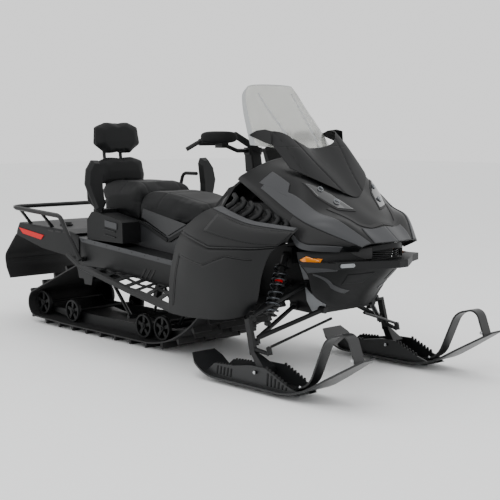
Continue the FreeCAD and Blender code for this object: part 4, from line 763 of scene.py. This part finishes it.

# %% [markdown]
# ## Lines and plates of the side covers
# A gap between panels is black because no light comes back out of it. The groove alone looks
# too shallow for that, so a thin matt band of painted shade lies in it, and another in the
# crease. A grey blade runs along the cover's top edge, and a wing stands proud below it. Those
# two are areas with four corners: blended between the corners first one way, then the other.

# %% Lines and plates of the side covers
LINE_LIFT = 0.6
LINE_MM, AREA_MM = 2.0, 4.0  # thickness of the lines and of the plates


def raised(name, rows, corners, lift, mat):
    """An area between four (row, column) corners of a shell, weighted (1-s)(1-t), s(1-t), st, (1-s)t."""
    c = np.asarray(corners, float)
    s, t = np.meshgrid(np.linspace(0, 1, 24), np.linspace(0, 1, 10), indexing="ij")
    place = ((1 - s) * (1 - t))[..., None] * c[0] + (s * (1 - t))[..., None] * c[1]
    place += (s * t)[..., None] * c[2] + ((1 - s) * t)[..., None] * c[3]
    grid = points_on(rows, place)
    pair_of_sheets(name, grid + normals_of(grid) * lift, AREA_MM, mat)


seam_path, crease_path = np.array(SEAM), np.array(CREASE)
# Matt black bands of painted shade in the seam and in the crease
banded("cover_seam_shade", COVER, seam_path, seam_path + 0.03, LINE_LIFT, "belt", LINE_MM)
banded("cover_crease_shade", COVER, crease_path, crease_path + [0.0, 0.035], LINE_LIFT, "belt", LINE_MM)
BLADE = [(0.1, 4.45), (3.9, 4.6), (3.9, 4.97), (0.1, 4.95)]
raised("cover_blade", COVER, BLADE, 3.0, "strip_plastic")
WING = [(1.1, 3.3), (3.9, 3.5), (3.9, 4.4), (0.7, 4.3)]
raised("cover_wing", COVER, WING, 3.0, "panel_plastic")

# %% [markdown]
# ## Side markers
# An amber lens sits in a grey plate at each side of the nose, and a small dark recess lies
# under the mouth. The lens is a patch through four corners of its own, pushed outwards so
# that it stands clear of the plate around it.

# %% Side markers
LENS_OUT = [7, -12, 2]
MARKER = [(1.02, 0.06), (1.02, 1.35), (1.85, 1.2), (1.85, 0.06)]
raised("marker_plate", FASCIA, MARKER, 3.0, "strip_plastic")
even = np.linspace(0, 1, 8)  # eight places from edge to edge
LENS = [[(1071, -329, 604), (1106, -322, 621)], [(1117, -313, 571), (1164, -291, 603)]]
amber = patch(LENS, even, even)
pair_of_sheets("amber_lens", amber + LENS_OUT, 5.0, "lamp_amber")
UNDER_MOUTH = [(2.1, 1.7), (2.1, 2.6), (2.5, 2.5), (2.5, 1.75)]
raised("nose_recess", FASCIA, UNDER_MOUTH, 2.0, "black_plastic")

# %% [markdown]
# ## Turned forms
# Rings, wheels, bolt heads and the cap are all turned work. Blender's Screw modifier could
# make them from a curve. Here the profile, pairs of distance along the axis and radius, is
# multiplied by the cosines and sines of even angles, which gives all the points at once.

# %% Turned forms


def ring_faces(count, sides):
    """Faces between neighbouring rings of points: along one, on to the next, and back."""
    k, m = np.meshgrid(np.arange(count - 1), np.arange(sides), indexing="ij")
    a = k * sides + m
    b = k * sides + (m + 1) % sides
    return np.stack([a, b, b + sides, a + sides], -1).reshape(-1, 4)


def revolved(profile, centre, axis, sides):
    """A solid of (along, radius) pairs turned about an axis: cosine and sine of even angles."""
    profile = np.asarray(profile, float)
    axis = np.asarray(axis, float) / np.linalg.norm(axis)
    u = np.cross(axis, [0.31, 0.23, 0.92])
    u /= np.linalg.norm(u)
    v = np.cross(axis, u)
    t = np.linspace(0, 2 * np.pi, sides, endpoint=False)
    ring = np.cos(t)[:, None] * u + np.sin(t)[:, None] * v
    pts = np.asarray(centre, float) + profile[:, :1, None] * axis + profile[:, 1:, None] * ring[None]
    n = len(profile)
    faces = ring_faces(n, sides)[:, [0, 3, 2, 1]].tolist()
    faces += [list(range(sides)), list(range((n - 1) * sides, n * sides))[::-1]]
    return pts.reshape(-1, 3), faces


print("a turned profile of 3 pairs on 8 sides has", len(ring_faces(3, 8)), "faces and two ends")

# %% [markdown]
# ## Lamp rings
# Two bright rings show through each smoked cover. A ring's axis is the hood's normal at its
# place, tipped forwards, so that the lamp looks ahead and not upwards. The left rings are
# the right ones with y negated. That turns faces inside out, so each face is also read
# backwards.

# %% Lamp rings
FORWARDS = [0.25, -0.1, 0]


def joined(parts):
    """Several (points, faces) pairs as one: each pair's face numbers move up by the points before it."""
    points, faces, start = [], [], 0
    for p, f in parts:
        points.append(np.asarray(p, float))
        faces += [[int(v) + start for v in face] for face in f]
        start += len(p)
    return np.concatenate(points), faces


def mirror_of(pair):
    """The same pair with y negated, and its faces read backwards so that they point outwards."""
    p, f = pair
    return np.asarray(p, float) * [1, -1, 1], [list(face)[::-1] for face in f]


def both_sides(parts):
    """Right-hand pairs and their mirror images as one pair."""
    return joined(parts + [mirror_of(p) for p in parts])


def surface(rows, u, v):
    """One point of a shell and its normal: the cross product of two short steps."""
    near = patch(rows, np.array([u, u + 0.05]), np.array([v, v + 0.05]))
    n = np.cross(near[1, 0] - near[0, 0], near[0, 1] - near[0, 0])
    return near[0, 0], n / np.linalg.norm(n)


rings = []
for u, v, radius in ((2.24, 2.38, 14.0), (2.66, 2.64, 16.0)):
    spot, out = surface(HOOD, u, v)
    profile = [(-6, 4), (-6, 10), (-2, radius - 3), (4, radius), (5, radius),
               (5, radius - 2), (0, radius - 5), (-3, 9), (-3, 4)]
    rings.append(revolved(profile, spot + out * 6, out + FORWARDS, 28))
make_piece("lamp_reflectors", *both_sides(rings), "bare_alloy", stands_for=["headlamps"])

# %% [markdown]
# ## Tubes along a path
# Springs, fins, ribs and axles are round bars along a path. A curve with a bevel would make
# them too, but rings of points keep the number of faces in hand. The rings must not twist,
# so each ring's first direction is the last one's, with the part along the path taken out.

# %% Tubes along a path


def swept(path, radius, sides):
    """A round tube: at each path point, radius times cosine and sine of even angles. Flat ends."""
    path = np.asarray(path, float)
    count = len(path)
    way = np.gradient(path, axis=0)
    way /= np.linalg.norm(way, axis=1, keepdims=True)
    side = np.zeros_like(path)
    first = np.cross(way[0], [0.3, 0.2, 1.0])
    side[0] = first / np.linalg.norm(first)
    for k in range(1, count):
        turned = side[k - 1] - way[k] * np.dot(side[k - 1], way[k])
        side[k] = turned / np.linalg.norm(turned)
    up = np.cross(way, side)
    angle = np.linspace(0, 2 * np.pi, sides, endpoint=False)
    turn = np.cos(angle)[None, :, None] * side[:, None] + np.sin(angle)[None, :, None] * up[:, None]
    rings = path[:, None] + radius * turn
    faces = ring_faces(count, sides).tolist()
    faces += [list(range(sides))[::-1], list(range((count - 1) * sides, count * sides))]
    return rings.reshape(-1, 3), faces


print("a bar of two rings with 8 sides has", len(swept([(0, 0, 0), (0, 0, 9)], 1.0, 8)[1]), "faces")

# %% [markdown]
# ## Front springs
# A coil spring stands round each front shock. It is a wire carried along a helix, whose
# angle and height grow together. At both ends a little sine brings the turns closer, as in a
# spring whose ends are closed and ground. A red collar marks the coil.

# %% Front springs
SHOCK_TOP = np.array([866.0, -218, 604])
SHOCK_FOOT = np.array([899.0, -372, 288])
COIL_RADIUS = 33.0
WIRE_RADIUS = 5.6
TURNS = 7
COLLAR = [(0, 5), (0, 18.5), (16, 18.5), (16, 5)]


def helix(top, foot, first, last):
    """Radius times cosine and sine of the angle round a line, between two shares of its length."""
    way = (foot - top) / np.linalg.norm(foot - top)
    side = np.cross(way, [1.0, 0.0, 0.0])
    side /= np.linalg.norm(side)
    other = np.cross(way, side)
    t = np.linspace(0, 1, TURNS * 20)
    height = np.linalg.norm(foot - top) * (first + (last - first) * (t + 0.02 * np.sin(4 * np.pi * t)))
    angle = 2 * np.pi * TURNS * t
    turn = np.cos(angle)[:, None] * side + np.sin(angle)[:, None] * other
    return top + height[:, None] * way + COIL_RADIUS * turn


coil = swept(helix(SHOCK_TOP, SHOCK_FOOT, 0.21, 0.84), WIRE_RADIUS, 10)
make_piece("front_springs", *both_sides([coil]), "spring_steel")
way = SHOCK_FOOT - SHOCK_TOP
mark = revolved(COLLAR, SHOCK_TOP + way * 0.36, way, 20)
# The red collar takes the red lens finish, with its faint painted glow
make_piece("spring_marks", *both_sides([mark]), "lamp_red")
print("a shock is", round(float(np.linalg.norm(way))), "mm long, with", TURNS, "turns round it")

# %% [markdown]
# ## Vent fins
# Hot air leaves between hood and side cover, past a row of bent bars. Thin plates would show
# nothing but their edges. Round bars along a path with rounded corners catch a line of light
# each, as the real fins do. A dark sheet of painted shade behind them hides the empty inside.

# %% Vent fins
FINS = 7
FIN_GAP = 58   # from one fin to the next, along x
FIN_FALL = 17  # and down
FIN_RADIUS = 13.0


def rounded_path(corners, bend):
    """A path with each inner corner replaced by a quadratic curve that starts and ends on its legs."""
    corners = [np.asarray(c, float) for c in corners]
    out = [corners[0]]
    for before, here, after in zip(corners, corners[1:], corners[2:]):
        back, on = np.linalg.norm(before - here), np.linalg.norm(after - here)
        a = (before - here) / back
        b = (after - here) / on
        half = np.arccos(np.clip(np.dot(a, b), -1, 1)) / 2
        reach = min(bend / np.tan(half), 0.48 * min(back, on))
        s = np.linspace(0, 1, 9)[:, None]
        start, end = here + a * reach, here + b * reach
        out.extend((1 - s) ** 2 * start + 2 * s * (1 - s) * here + s**2 * end)
    out.append(corners[-1])
    return np.array(out)


fins = []
for i in range(FINS):
    x, z = 620 + i * FIN_GAP, 868 - i * FIN_FALL
    corners = [(x, -330, z + 18), (x + 38, -348, z + 2), (x + 34, -368, z - 20), (x + 10, -386, z - 40)]
    fins.append(swept(rounded_path(corners, 12), FIN_RADIUS, 10))
make_piece("vent_fins", *both_sides(fins), "black_plastic", stands_for=["louvre_banks"])
# Matt black sheet of painted shade behind the fins, in place of the empty inside
SHADE_SHEET = [[(610, -385, 812), (610, -330, 862)], [(1040, -385, 690), (1040, -338, 742)]]
pair_of_sheets("vent_shade_sheet", patch(SHADE_SHEET, even, np.linspace(0, 1, 4)), 3.0, "belt")

# %% [markdown]
# ## Flat fittings
# Flat fittings are cut from sheet: an outline pulled straight through its thickness. Their
# edges are rounded a little by a bevel, because a perfectly sharp edge never catches light
# and looks drawn on. Every fitting is made for the right side and mirrored. What belongs to
# a ski is made once for each leg instead, so that it can turn with it.

# %% Flat fittings
X, Y = 0, 1  # the axes that outlines are pulled along
BEVEL_ANGLE = math.radians(40)


def prism(outline, axis, a0, a1):
    """An outline of pairs along the two other axes, in order x, y, z, pulled from a0 to a1 along one."""
    flat = np.asarray(outline, float)
    n = len(flat)
    points = np.zeros((2 * n, 3))
    others = [i for i in range(3) if i != axis]
    points[:, others] = np.concatenate([flat, flat])
    points[:n, axis] = a0
    points[n:, axis] = a1
    i = np.arange(n)
    j = (i + 1) % n
    return points, [list(range(n)), list(range(n, 2 * n))] + np.stack([i, j, j + n, i + n], -1).tolist()


def hardware(name, parts, mat, bevel=1.0, body="chassis", both=True, stands_for=()):
    """Right-hand forms with their mirror images as one piece, or one piece for each leg."""
    if body == "leg":
        hardware("right_" + name, parts, mat, bevel, "right_leg", False)
        hardware("left_" + name, [mirror_of(p) for p in parts], mat, bevel, "left_leg", False)
        return
    whole = both_sides(parts) if both else joined(parts)
    thing = make_piece(name, *whole, mat, body=body, stands_for=stands_for)
    if bevel:
        edge = thing.modifiers.new("edge", "BEVEL")
        edge.width = bevel * MM
        edge.segments = 2
        edge.limit_method = "ANGLE"
        edge.angle_limit = BEVEL_ANGLE


print("an outline of 4 corners becomes", len(prism([(0, 0), (1, 0), (1, 1), (0, 1)], Y, 0, 1)[1]), "faces")

# %% [markdown]
# ## Plates on seat base and boxes
# A grey plate and two dark trims cover each side of the seat base, and each storage box has
# a latch plate and two rails that serve as a handle. They lie flat against a side, so each
# is given by its outline in x and z and the y of that side.

# %% Plates on seat base and boxes
SEAT_SIDE = -204.6  # y of the seat base's right face
BOX_SIDE = -329.8   # y of the storage boxes' right face
plate = prism([(-283, 716), (-55, 626), (104, 700), (-273, 766)], Y, SEAT_SIDE - 3.5, SEAT_SIDE)
hardware("seat_side_plates", [plate], "grey_trim")
hardware("seat_trims", [
    prism([(-330, 694), (-300, 700), (-40, 606), (-60, 592)], Y, SEAT_SIDE - 7, SEAT_SIDE),
    prism([(-62, 606), (-40, 592), (150, 680), (150, 704)], Y, SEAT_SIDE - 7, SEAT_SIDE),
], "black_plastic")
latch = prism([(-462, 660), (-350, 648), (-350, 684), (-462, 696)], Y, BOX_SIDE - 5, BOX_SIDE)
hardware("box_latches", [latch], "strip_plastic", 2.0)
hardware("box_handles", [
    prism([(-472, z), (-364, z - 12), (-364, z - 6), (-472, z + 6)], Y, BOX_SIDE - 6, BOX_SIDE)
    for z in (612, 644)
], "black_metal")

# %% [markdown]
# ## Marks on the tunnel and rails
# Three slanting bars are moulded in the tunnel's side, and a row of round holes runs along
# each side rail. A hole this small needs no cut: a flat black disc just proud of the rail,
# painted shade in place of the hole's dark inside, looks the same, and the rail's own mesh
# stays clean.

# %% Marks on the tunnel and rails
TUNNEL_SIDE = -330
RAIL_SIDE = -339.0
RAIL_FALL = 0.0737  # how much the rail drops for each millimetre along it
HOLE_STEP = 116.0
chevrons = [
    prism([(x, 392), (x + 16, 392), (x + 64, 452), (x + 48, 452)], Y, TUNNEL_SIDE - 2.5, TUNNEL_SIDE)
    for x in (-150, -110, -70)
]
hardware("tunnel_marks", chevrons, "grip_rubber")
# Each hole is a flat black disc of painted shade for its dark inside
DISC = [(0, 0.3), (0, 4.5), (0.8, 4.5), (0.8, 0.3)]
rail_x = np.arange(-670, 150, HOLE_STEP)
shade_discs = [revolved(DISC, (x, RAIL_SIDE, 571.5 - RAIL_FALL * (x + 712)), (0, -1, 0), 16) for x in rail_x]
hardware("rail_hole_shade", shade_discs, "belt", 0)
print(len(rail_x), "holes a side,", HOLE_STEP, "mm apart")

# %% [markdown]
# ## Deck, lamps and flap at the rear
# The rear deck has a round filler cap and three slots a side, each a flat matt black plate of
# painted shade. Two red reflectors face backwards, and the rubber flap is stiffened by ribs
# across it. The ribs follow the flap's bend: their heights were read off the same line of
# points as the flap's.

# %% Deck, lamps and flap at the rear
DECK_SIDE = -336
CAP = [(0, 1), (0, 40), (10, 40), (14, 34), (22, 32), (24, 28), (24, 1)]
cap = revolved(CAP, (-1061, -190, 618), (0, 0, 1), 32)
hardware("deck_cap", [cap], "black_plastic", 0, both=False)
# Each slot is a flat matt black plate of painted shade
slots = [
    prism([(x, 604), (x + 60, 601), (x + 56, 593), (x - 4, 596)], Y, DECK_SIDE - 1.6, DECK_SIDE)
    for x in (-1040, -960, -880)
]
hardware("deck_slot_shade", slots, "belt", 0)
reflector = prism([(-190, 600), (-120, 600), (-120, 612), (-190, 612)], X, -1403.5, -1399.5)
# The reflectors take the red lens finish, with its faint painted glow
hardware("rear_reflectors", [reflector], "lamp_red")
FLAP_LINE = [(-1494, 524), (-1522, 495), (-1550, 467), (-1578, 438),
             (-1603, 372), (-1599, 344), (-1583, 300), (-1570, 280)]


def cross_bar(x, z, radius, reach, sides):
    """A round bar across the machine, from minus reach to reach in y."""
    return swept([(x, -reach, z), (x, 0, z), (x, reach, z)], radius, sides)


ribs = [cross_bar(x - 1.5, z, 4.0, 285, 8) for x, z in FLAP_LINE]
hardware("flap_ribs", ribs, "grip_rubber", 0, both=False)

# %% [markdown]
# ## Tag on the bumper
# A small bare alloy tag is bolted to the right end of the bumper. Its outline is an oblong
# with round ends: a circle whose two halves are moved apart. It stands on its own pair of
# directions, one along the bumper's face and one out of it.

# %% Tag on the bumper
TAG_SIDES = 24
ALONG_TAG = np.array([0.349, 0.937, 0.0])
OUT_OF_TAG = np.array([0.937, -0.349, 0.0])
TAG_MIDDLE = np.array([1288.0, -246.0, 589.0])
TAG_THICK = 4


def bolt(spot, axis, radius=8.0, height=6.0):
    """A round head over its washer, as a profile turned about the axis."""
    head = radius * 0.72
    profile = [(0, 0.5), (0, radius), (1.5, radius), (1.8, head),
               (height - 1, head), (height, radius * 0.55), (height, 0.5)]
    return revolved(profile, spot, axis, 20)


angle = np.linspace(0, 2 * np.pi, TAG_SIDES, endpoint=False)
length = np.cos(angle) * 8 + np.sign(np.cos(angle)) * 30
ring = TAG_MIDDLE + np.outer(length, ALONG_TAG) + np.outer(np.sin(angle) * 9, [0, 0, 1])
ends = [list(range(TAG_SIDES)), list(range(TAG_SIDES, 2 * TAG_SIDES))]
face = OUT_OF_TAG * TAG_THICK
tag = (np.concatenate([ring, ring + face]), ends + ring_faces(2, TAG_SIDES).tolist())
screws = [bolt(TAG_MIDDLE + ALONG_TAG * s + face, OUT_OF_TAG, 6, 4) for s in (-32, 32)]
hardware("bumper_tag", [tag] + screws, "bare_alloy", 0, both=False)

# %% [markdown]
# ## Skis
# The skis are moulded with small teeth along the tops of their side walls, upright ribs on
# the outer flanks, and bolts through the pin and the loop. Everything here turns with its
# ski, so each piece is made twice and rides on the right or the left leg.

# %% Skis
OUTER_WALL, INNER_WALL = -532, -408  # y of the walls' middles on the right ski
TOOTH_HALF = 3.8
RIB_Y = (-539, -536)  # the ribs' faces
REAR_TEETH = [(x, 91 + 0.06 * (x - 720)) for x in range(716, 836, 20)]
FRONT_TEETH = [(x, 122 - 0.42 * (x - 1050)) for x in range(1052, 1180, 20)]
teeth = []
for x, z in REAR_TEETH + FRONT_TEETH:
    tooth = [(x, z - 10), (x + 15, z - 10), (x + 11, z + 7), (x + 3, z + 7)]
    teeth += [prism(tooth, Y, y - TOOTH_HALF, y + TOOTH_HALF) for y in (OUTER_WALL, INNER_WALL)]
REAR_RIBS = [[(x, 42), (x + 9, 42), (x + 15, 82), (x + 6, 82)] for x in range(716, 836, 24)]
FRONT_RIBS = [
    [(x, 40), (x + 9, 40), (x + 13, top), (x + 4, top)]
    for x, top in zip(range(1060, 1190, 24), (100, 92, 82, 72, 62, 54))
]
ribs = [prism(outline, Y, *RIB_Y) for outline in REAR_RIBS + FRONT_RIBS]
hardware("ski_teeth", teeth, "black_plastic", 0, "leg")
hardware("ski_ribs", ribs, "black_plastic", 0.8, "leg")
BOLTS = [  # x, z, the way the head faces in y, y
    (990, 92, -1, -546), (990, 92, 1, -394), (1240, 58, -1, -501),
    (1548, 226, -1, -501), (1240, 58, 1, -439), (1548, 226, 1, -439),
]
heads = [bolt((x, y, z), (0, facing, 0)) for x, z, facing, y in BOLTS]
hardware("ski_bolts", heads, "steel", 0, "leg")
print(len(teeth), "teeth,", len(ribs), "ribs and", len(heads), "bolts on each ski")

# %% [markdown]
# ## Wheels in the track
# Small wheels press the track down, and two larger ones turn it round at the tail. Each has
# a rubber tyre, five spokes and a hub. The tyre and hub are turned profiles, and a spoke is
# a plate turned by a fifth of a circle each time. The road wheels' axles follow the belt,
# which is flat at first and then bends up in a circle.

# %% Wheels in the track
SPOKES = 5
TRACK_Y = 240
ROAD_RADIUS, TAIL_RADIUS = 69.2, 76.4
TAIL_X, TAIL_Z = -1250, 126
TYRE_HALF = 12.0       # half a tyre's width
SPOKE_HALF = 6
BELT_CURVE = 582.0     # radius of the bend
BEND_X, BEND_Z = -160.5, 692  # its centre: ahead of it the belt rises


def wheel(x, y, z, radius, side):
    """Tyre and hub profiles turned about y, and spokes turned by even angles, dish facing side."""
    w = TYRE_HALF
    tyre = [(-w, radius - 12), (-w, radius - 3), (-w + 3, radius), (w - 3, radius),
            (w, radius - 3), (w, radius - 12), (6, radius - 14), (-6, radius - 14)]
    tyre.append(tyre[0])
    hub = [(-w - 2, 1), (-w - 2, 16), (w - 2, 20), (w + 2, 17), (w + 2, 9), (w + 5, 8), (w + 5, 1)]
    parts = [revolved(tyre, (x, y, z), (0, side, 0), 40), revolved(hub, (x, y, z), (0, side, 0), 24)]
    spoke = np.array([[14, -8], [radius - 11, -11], [radius - 11, 11], [14, 8]])
    for turn in np.arange(SPOKES) * 2 * np.pi / SPOKES + 0.3:
        spin = np.array([[math.cos(turn), math.sin(turn)], [-math.sin(turn), math.cos(turn)]])
        parts.append(prism(spoke @ spin + [x, z], Y, y - SPOKE_HALF, y + SPOKE_HALF))
    return parts


def road_z(x):
    """Height of a road wheel's axle: a circle's height once the belt has begun to bend."""
    over = max(0.0, x - BEND_X)
    return BEND_Z - math.sqrt(BELT_CURVE**2 - over**2)


def axle(x, z):
    """A cross shaft: a round bar 19 mm thick and 516 mm long."""
    return cross_bar(x, z, 9.5, 258.0, 16)


road = []
for x in (-930, -227, -62):
    for side in (-1, 1):
        road += wheel(x, TRACK_Y * side, road_z(x), ROAD_RADIUS, side)
    road.append(axle(x, road_z(x)))
make_piece("road_wheels", *joined(road), "black_plastic", stands_for=["bogie_wheels"])
tail = []
for side in (-1, 1):
    tail += wheel(TAIL_X, TRACK_Y * side, TAIL_Z, TAIL_RADIUS, side)
tail.append(axle(TAIL_X, TAIL_Z))
make_piece("tail_wheels", *joined(tail), "black_plastic", stands_for=["rear_idlers"])
print("road wheels", 2 * ROAD_RADIUS, "mm across, tail wheels", 2 * TAIL_RADIUS, "mm")

# %% [markdown]
# ## Hand guards and grips
# A guard before each grip keeps wind off the fingers. It is a flattened pod: a sphere's two
# angles, with every sine and cosine raised to the power 0.6, which fills the round form out
# towards a box with soft corners. The grips are ribbed rubber: a profile whose radius steps
# up and down from bead to bead. All of it turns with the bars.

# %% Hand guards and grips
POD_STEPS, POD_SIDES = 22, 40
POD_MIDDLE = (500, -322, 1167)
POD_HALF = (13, 118, 30)
BEADS = 33


def fuller(value):
    """The value raised to the power 0.6 with its sign kept."""
    return np.sign(value) * np.abs(value) ** 0.6


round_it = np.linspace(0, 2 * np.pi, POD_SIDES, endpoint=False)
t, p = np.meshgrid(np.linspace(0, np.pi, POD_STEPS), round_it, indexing="ij")
pod = np.stack([
    POD_MIDDLE[0] + POD_HALF[0] * fuller(np.sin(t)) * fuller(np.cos(p)),
    POD_MIDDLE[1] - POD_HALF[1] * fuller(np.cos(t)),
    POD_MIDDLE[2] + POD_HALF[2] * fuller(np.sin(t)) * fuller(np.sin(p)),
], -1)
stay = swept([(442, -236, 1136), (470, -238, 1150), (498, -240, 1163)], 6.0, 12)
pod_pair = (pod.reshape(-1, 3), ring_faces(POD_STEPS, POD_SIDES).tolist())
hardware("guard_pods", [pod_pair, stay], "black_plastic", 0, "bars", stands_for=["hand_guards"])
beads = [(s, 17.2 + 0.8 * (n % 2)) for n, s in enumerate(np.linspace(0, 96, BEADS))]
rubber = revolved([(0, 12)] + beads + [(96, 12)], (406, -269, 1142), (-0.05, -1, 0), 28)
hardware("grip_sleeves", [rubber], "grip_rubber", 0, "bars")

# %% [markdown]
# ## Brackets, cast plates and covers
# Last come four plain fittings: the bracket from the riser out to the guards, pale cast
# plates on the dark front frame, the riser's cover, and the plates that hold the screen's
# lower corners. All are outlines read from the side or the front, pulled to their thickness,
# and bevelled. The riser's cover has a wide bevel, because it is a soft moulding.

# %% Brackets, cast plates and covers
RISER_HALF = 36
CAST_Y, CARRIER_Y, BRACKET_X = (-166, -160.5), (-259, -254), (474, 481)
BRACKET = [(-216, 1188), (-188, 1194), (-96, 1150), (-20, 1112), (-20, 1076), (-84, 1104), (-206, 1164)]
hardware("guard_brackets", [prism(BRACKET, X, *BRACKET_X)], "black_plastic", 1.5, "bars")
UPPER_CAST = [(905, 556), (930, 596), (982, 520), (968, 486), (938, 480)]
LOWER_CAST = [(945, 452), (985, 420), (1040, 404), (1086, 392), (1072, 344), (992, 334), (958, 380)]
cast = [prism(outline, Y, *CAST_Y) for outline in (UPPER_CAST, LOWER_CAST)]
hardware("cast_plates", cast, "cast_alloy", 1.5)
riser = prism([(384, 985), (448, 985), (424, 1112), (372, 1112)], Y, -RISER_HALF, RISER_HALF)
hardware("riser_cover", [riser], "black_plastic", 6.0, "bars", False)
CARRIER = [(645, 1178), (700, 1200), (760, 1206), (800, 1198), (806, 1132), (765, 1140)]
hardware("screen_carriers", [prism(CARRIER, Y, *CARRIER_Y)], "panel_plastic", 1.5)

# %% [markdown]
# ## Camera
# The camera was solved from the photograph: its azimuth, how far it looks down, its distance
# and its lens. A long lens from six metres away keeps the near ski from looking too large.
# A camera looks along its own minus Z, so its turn is the one that brings minus Z onto the
# line of sight.

# %% Camera
VIEW_AZ = math.radians(46.68)
VIEW_DOWN = math.radians(6.358)
EYE = Vector((4.521, -3.903, 1.203))
LENS_MM = 77.6


def aim(name, kind, spot, at):
    """A lamp or camera at a spot, its minus Z turned onto the line to a point."""
    thing = bpy.data.objects.new(name, kind)
    thing.location = spot
    thing.rotation_euler = (Vector(at) - Vector(spot)).to_track_quat("-Z", "Y").to_euler()
    bpy.context.scene.collection.objects.link(thing)
    return thing


level = math.cos(VIEW_DOWN)
look = Vector((-math.sin(VIEW_AZ) * level, math.cos(VIEW_AZ) * level, -math.sin(VIEW_DOWN)))
lens = bpy.data.cameras.new("camera")
lens.lens = LENS_MM
bpy.context.scene.camera = aim("camera", lens, EYE, EYE + look)
print("the camera stands", round((EYE - Vector((0, 0, 0.7))).length, 2), "m from the machine's middle")

# %% [markdown]
# ## Light
# The machine is black, and black shows its shape only by what it reflects. A hard lamp would
# leave points of light on it. Large soft lamps draw long even highlights: one key light from
# the right and above, weaker ones from behind and from the front, and a wide one overhead
# for the upper faces. A white world fills the rest and keeps the ground shadow soft.

# %% Light


def soft_light(name, spot, watts, size, at=(0, 0, 0.5)):
    """A large square lamp of a given power."""
    lamp = bpy.data.lights.new(name, "AREA")
    lamp.energy = watts
    lamp.size = size
    return aim(name, lamp, spot, at)


soft_light("key", (2.8, -3.4, 4.6), 70, 2.0)
soft_light("fill", (-3.4, -4.4, 2.4), 20, 3.2)
soft_light("front", (5.5, 1.8, 2.4), 20, 2.6)
soft_light("top", (-0.5, 0.5, 6.0), 60, 5.0, at=(-0.5, 0.5, 0.0))
world = bpy.data.worlds.new("room")
bpy.context.scene.world = world
world.use_nodes = True
sky = world.node_tree.nodes["Background"].inputs
sky["Color"].default_value = (1.0, 1.0, 1.0, 1)
sky["Strength"].default_value = 1.25
print("lamps of", sum(lamp.energy for lamp in bpy.data.lights), "W in all")

# %% [markdown]
# ## Ground
# A wide pale plane takes the shadow under the skis and the track, which is what sets the
# machine on the floor. It is part of the stage, not of the machine.

# %% Ground
bpy.ops.mesh.primitive_plane_add(size=60)
ground = bpy.context.object
ground.name = "ground"
# Matt painted floor: almost white, with a grain of 3 mm so that it isn't quite flat
ground.data.materials.append(finish_of("pale floor", "f7f8f8", 0.75, grain_mm=3, bump=0.02, wear=0.01))
print("ground of", round(ground.dimensions.x), "m")

# %% Done
save_bounds()
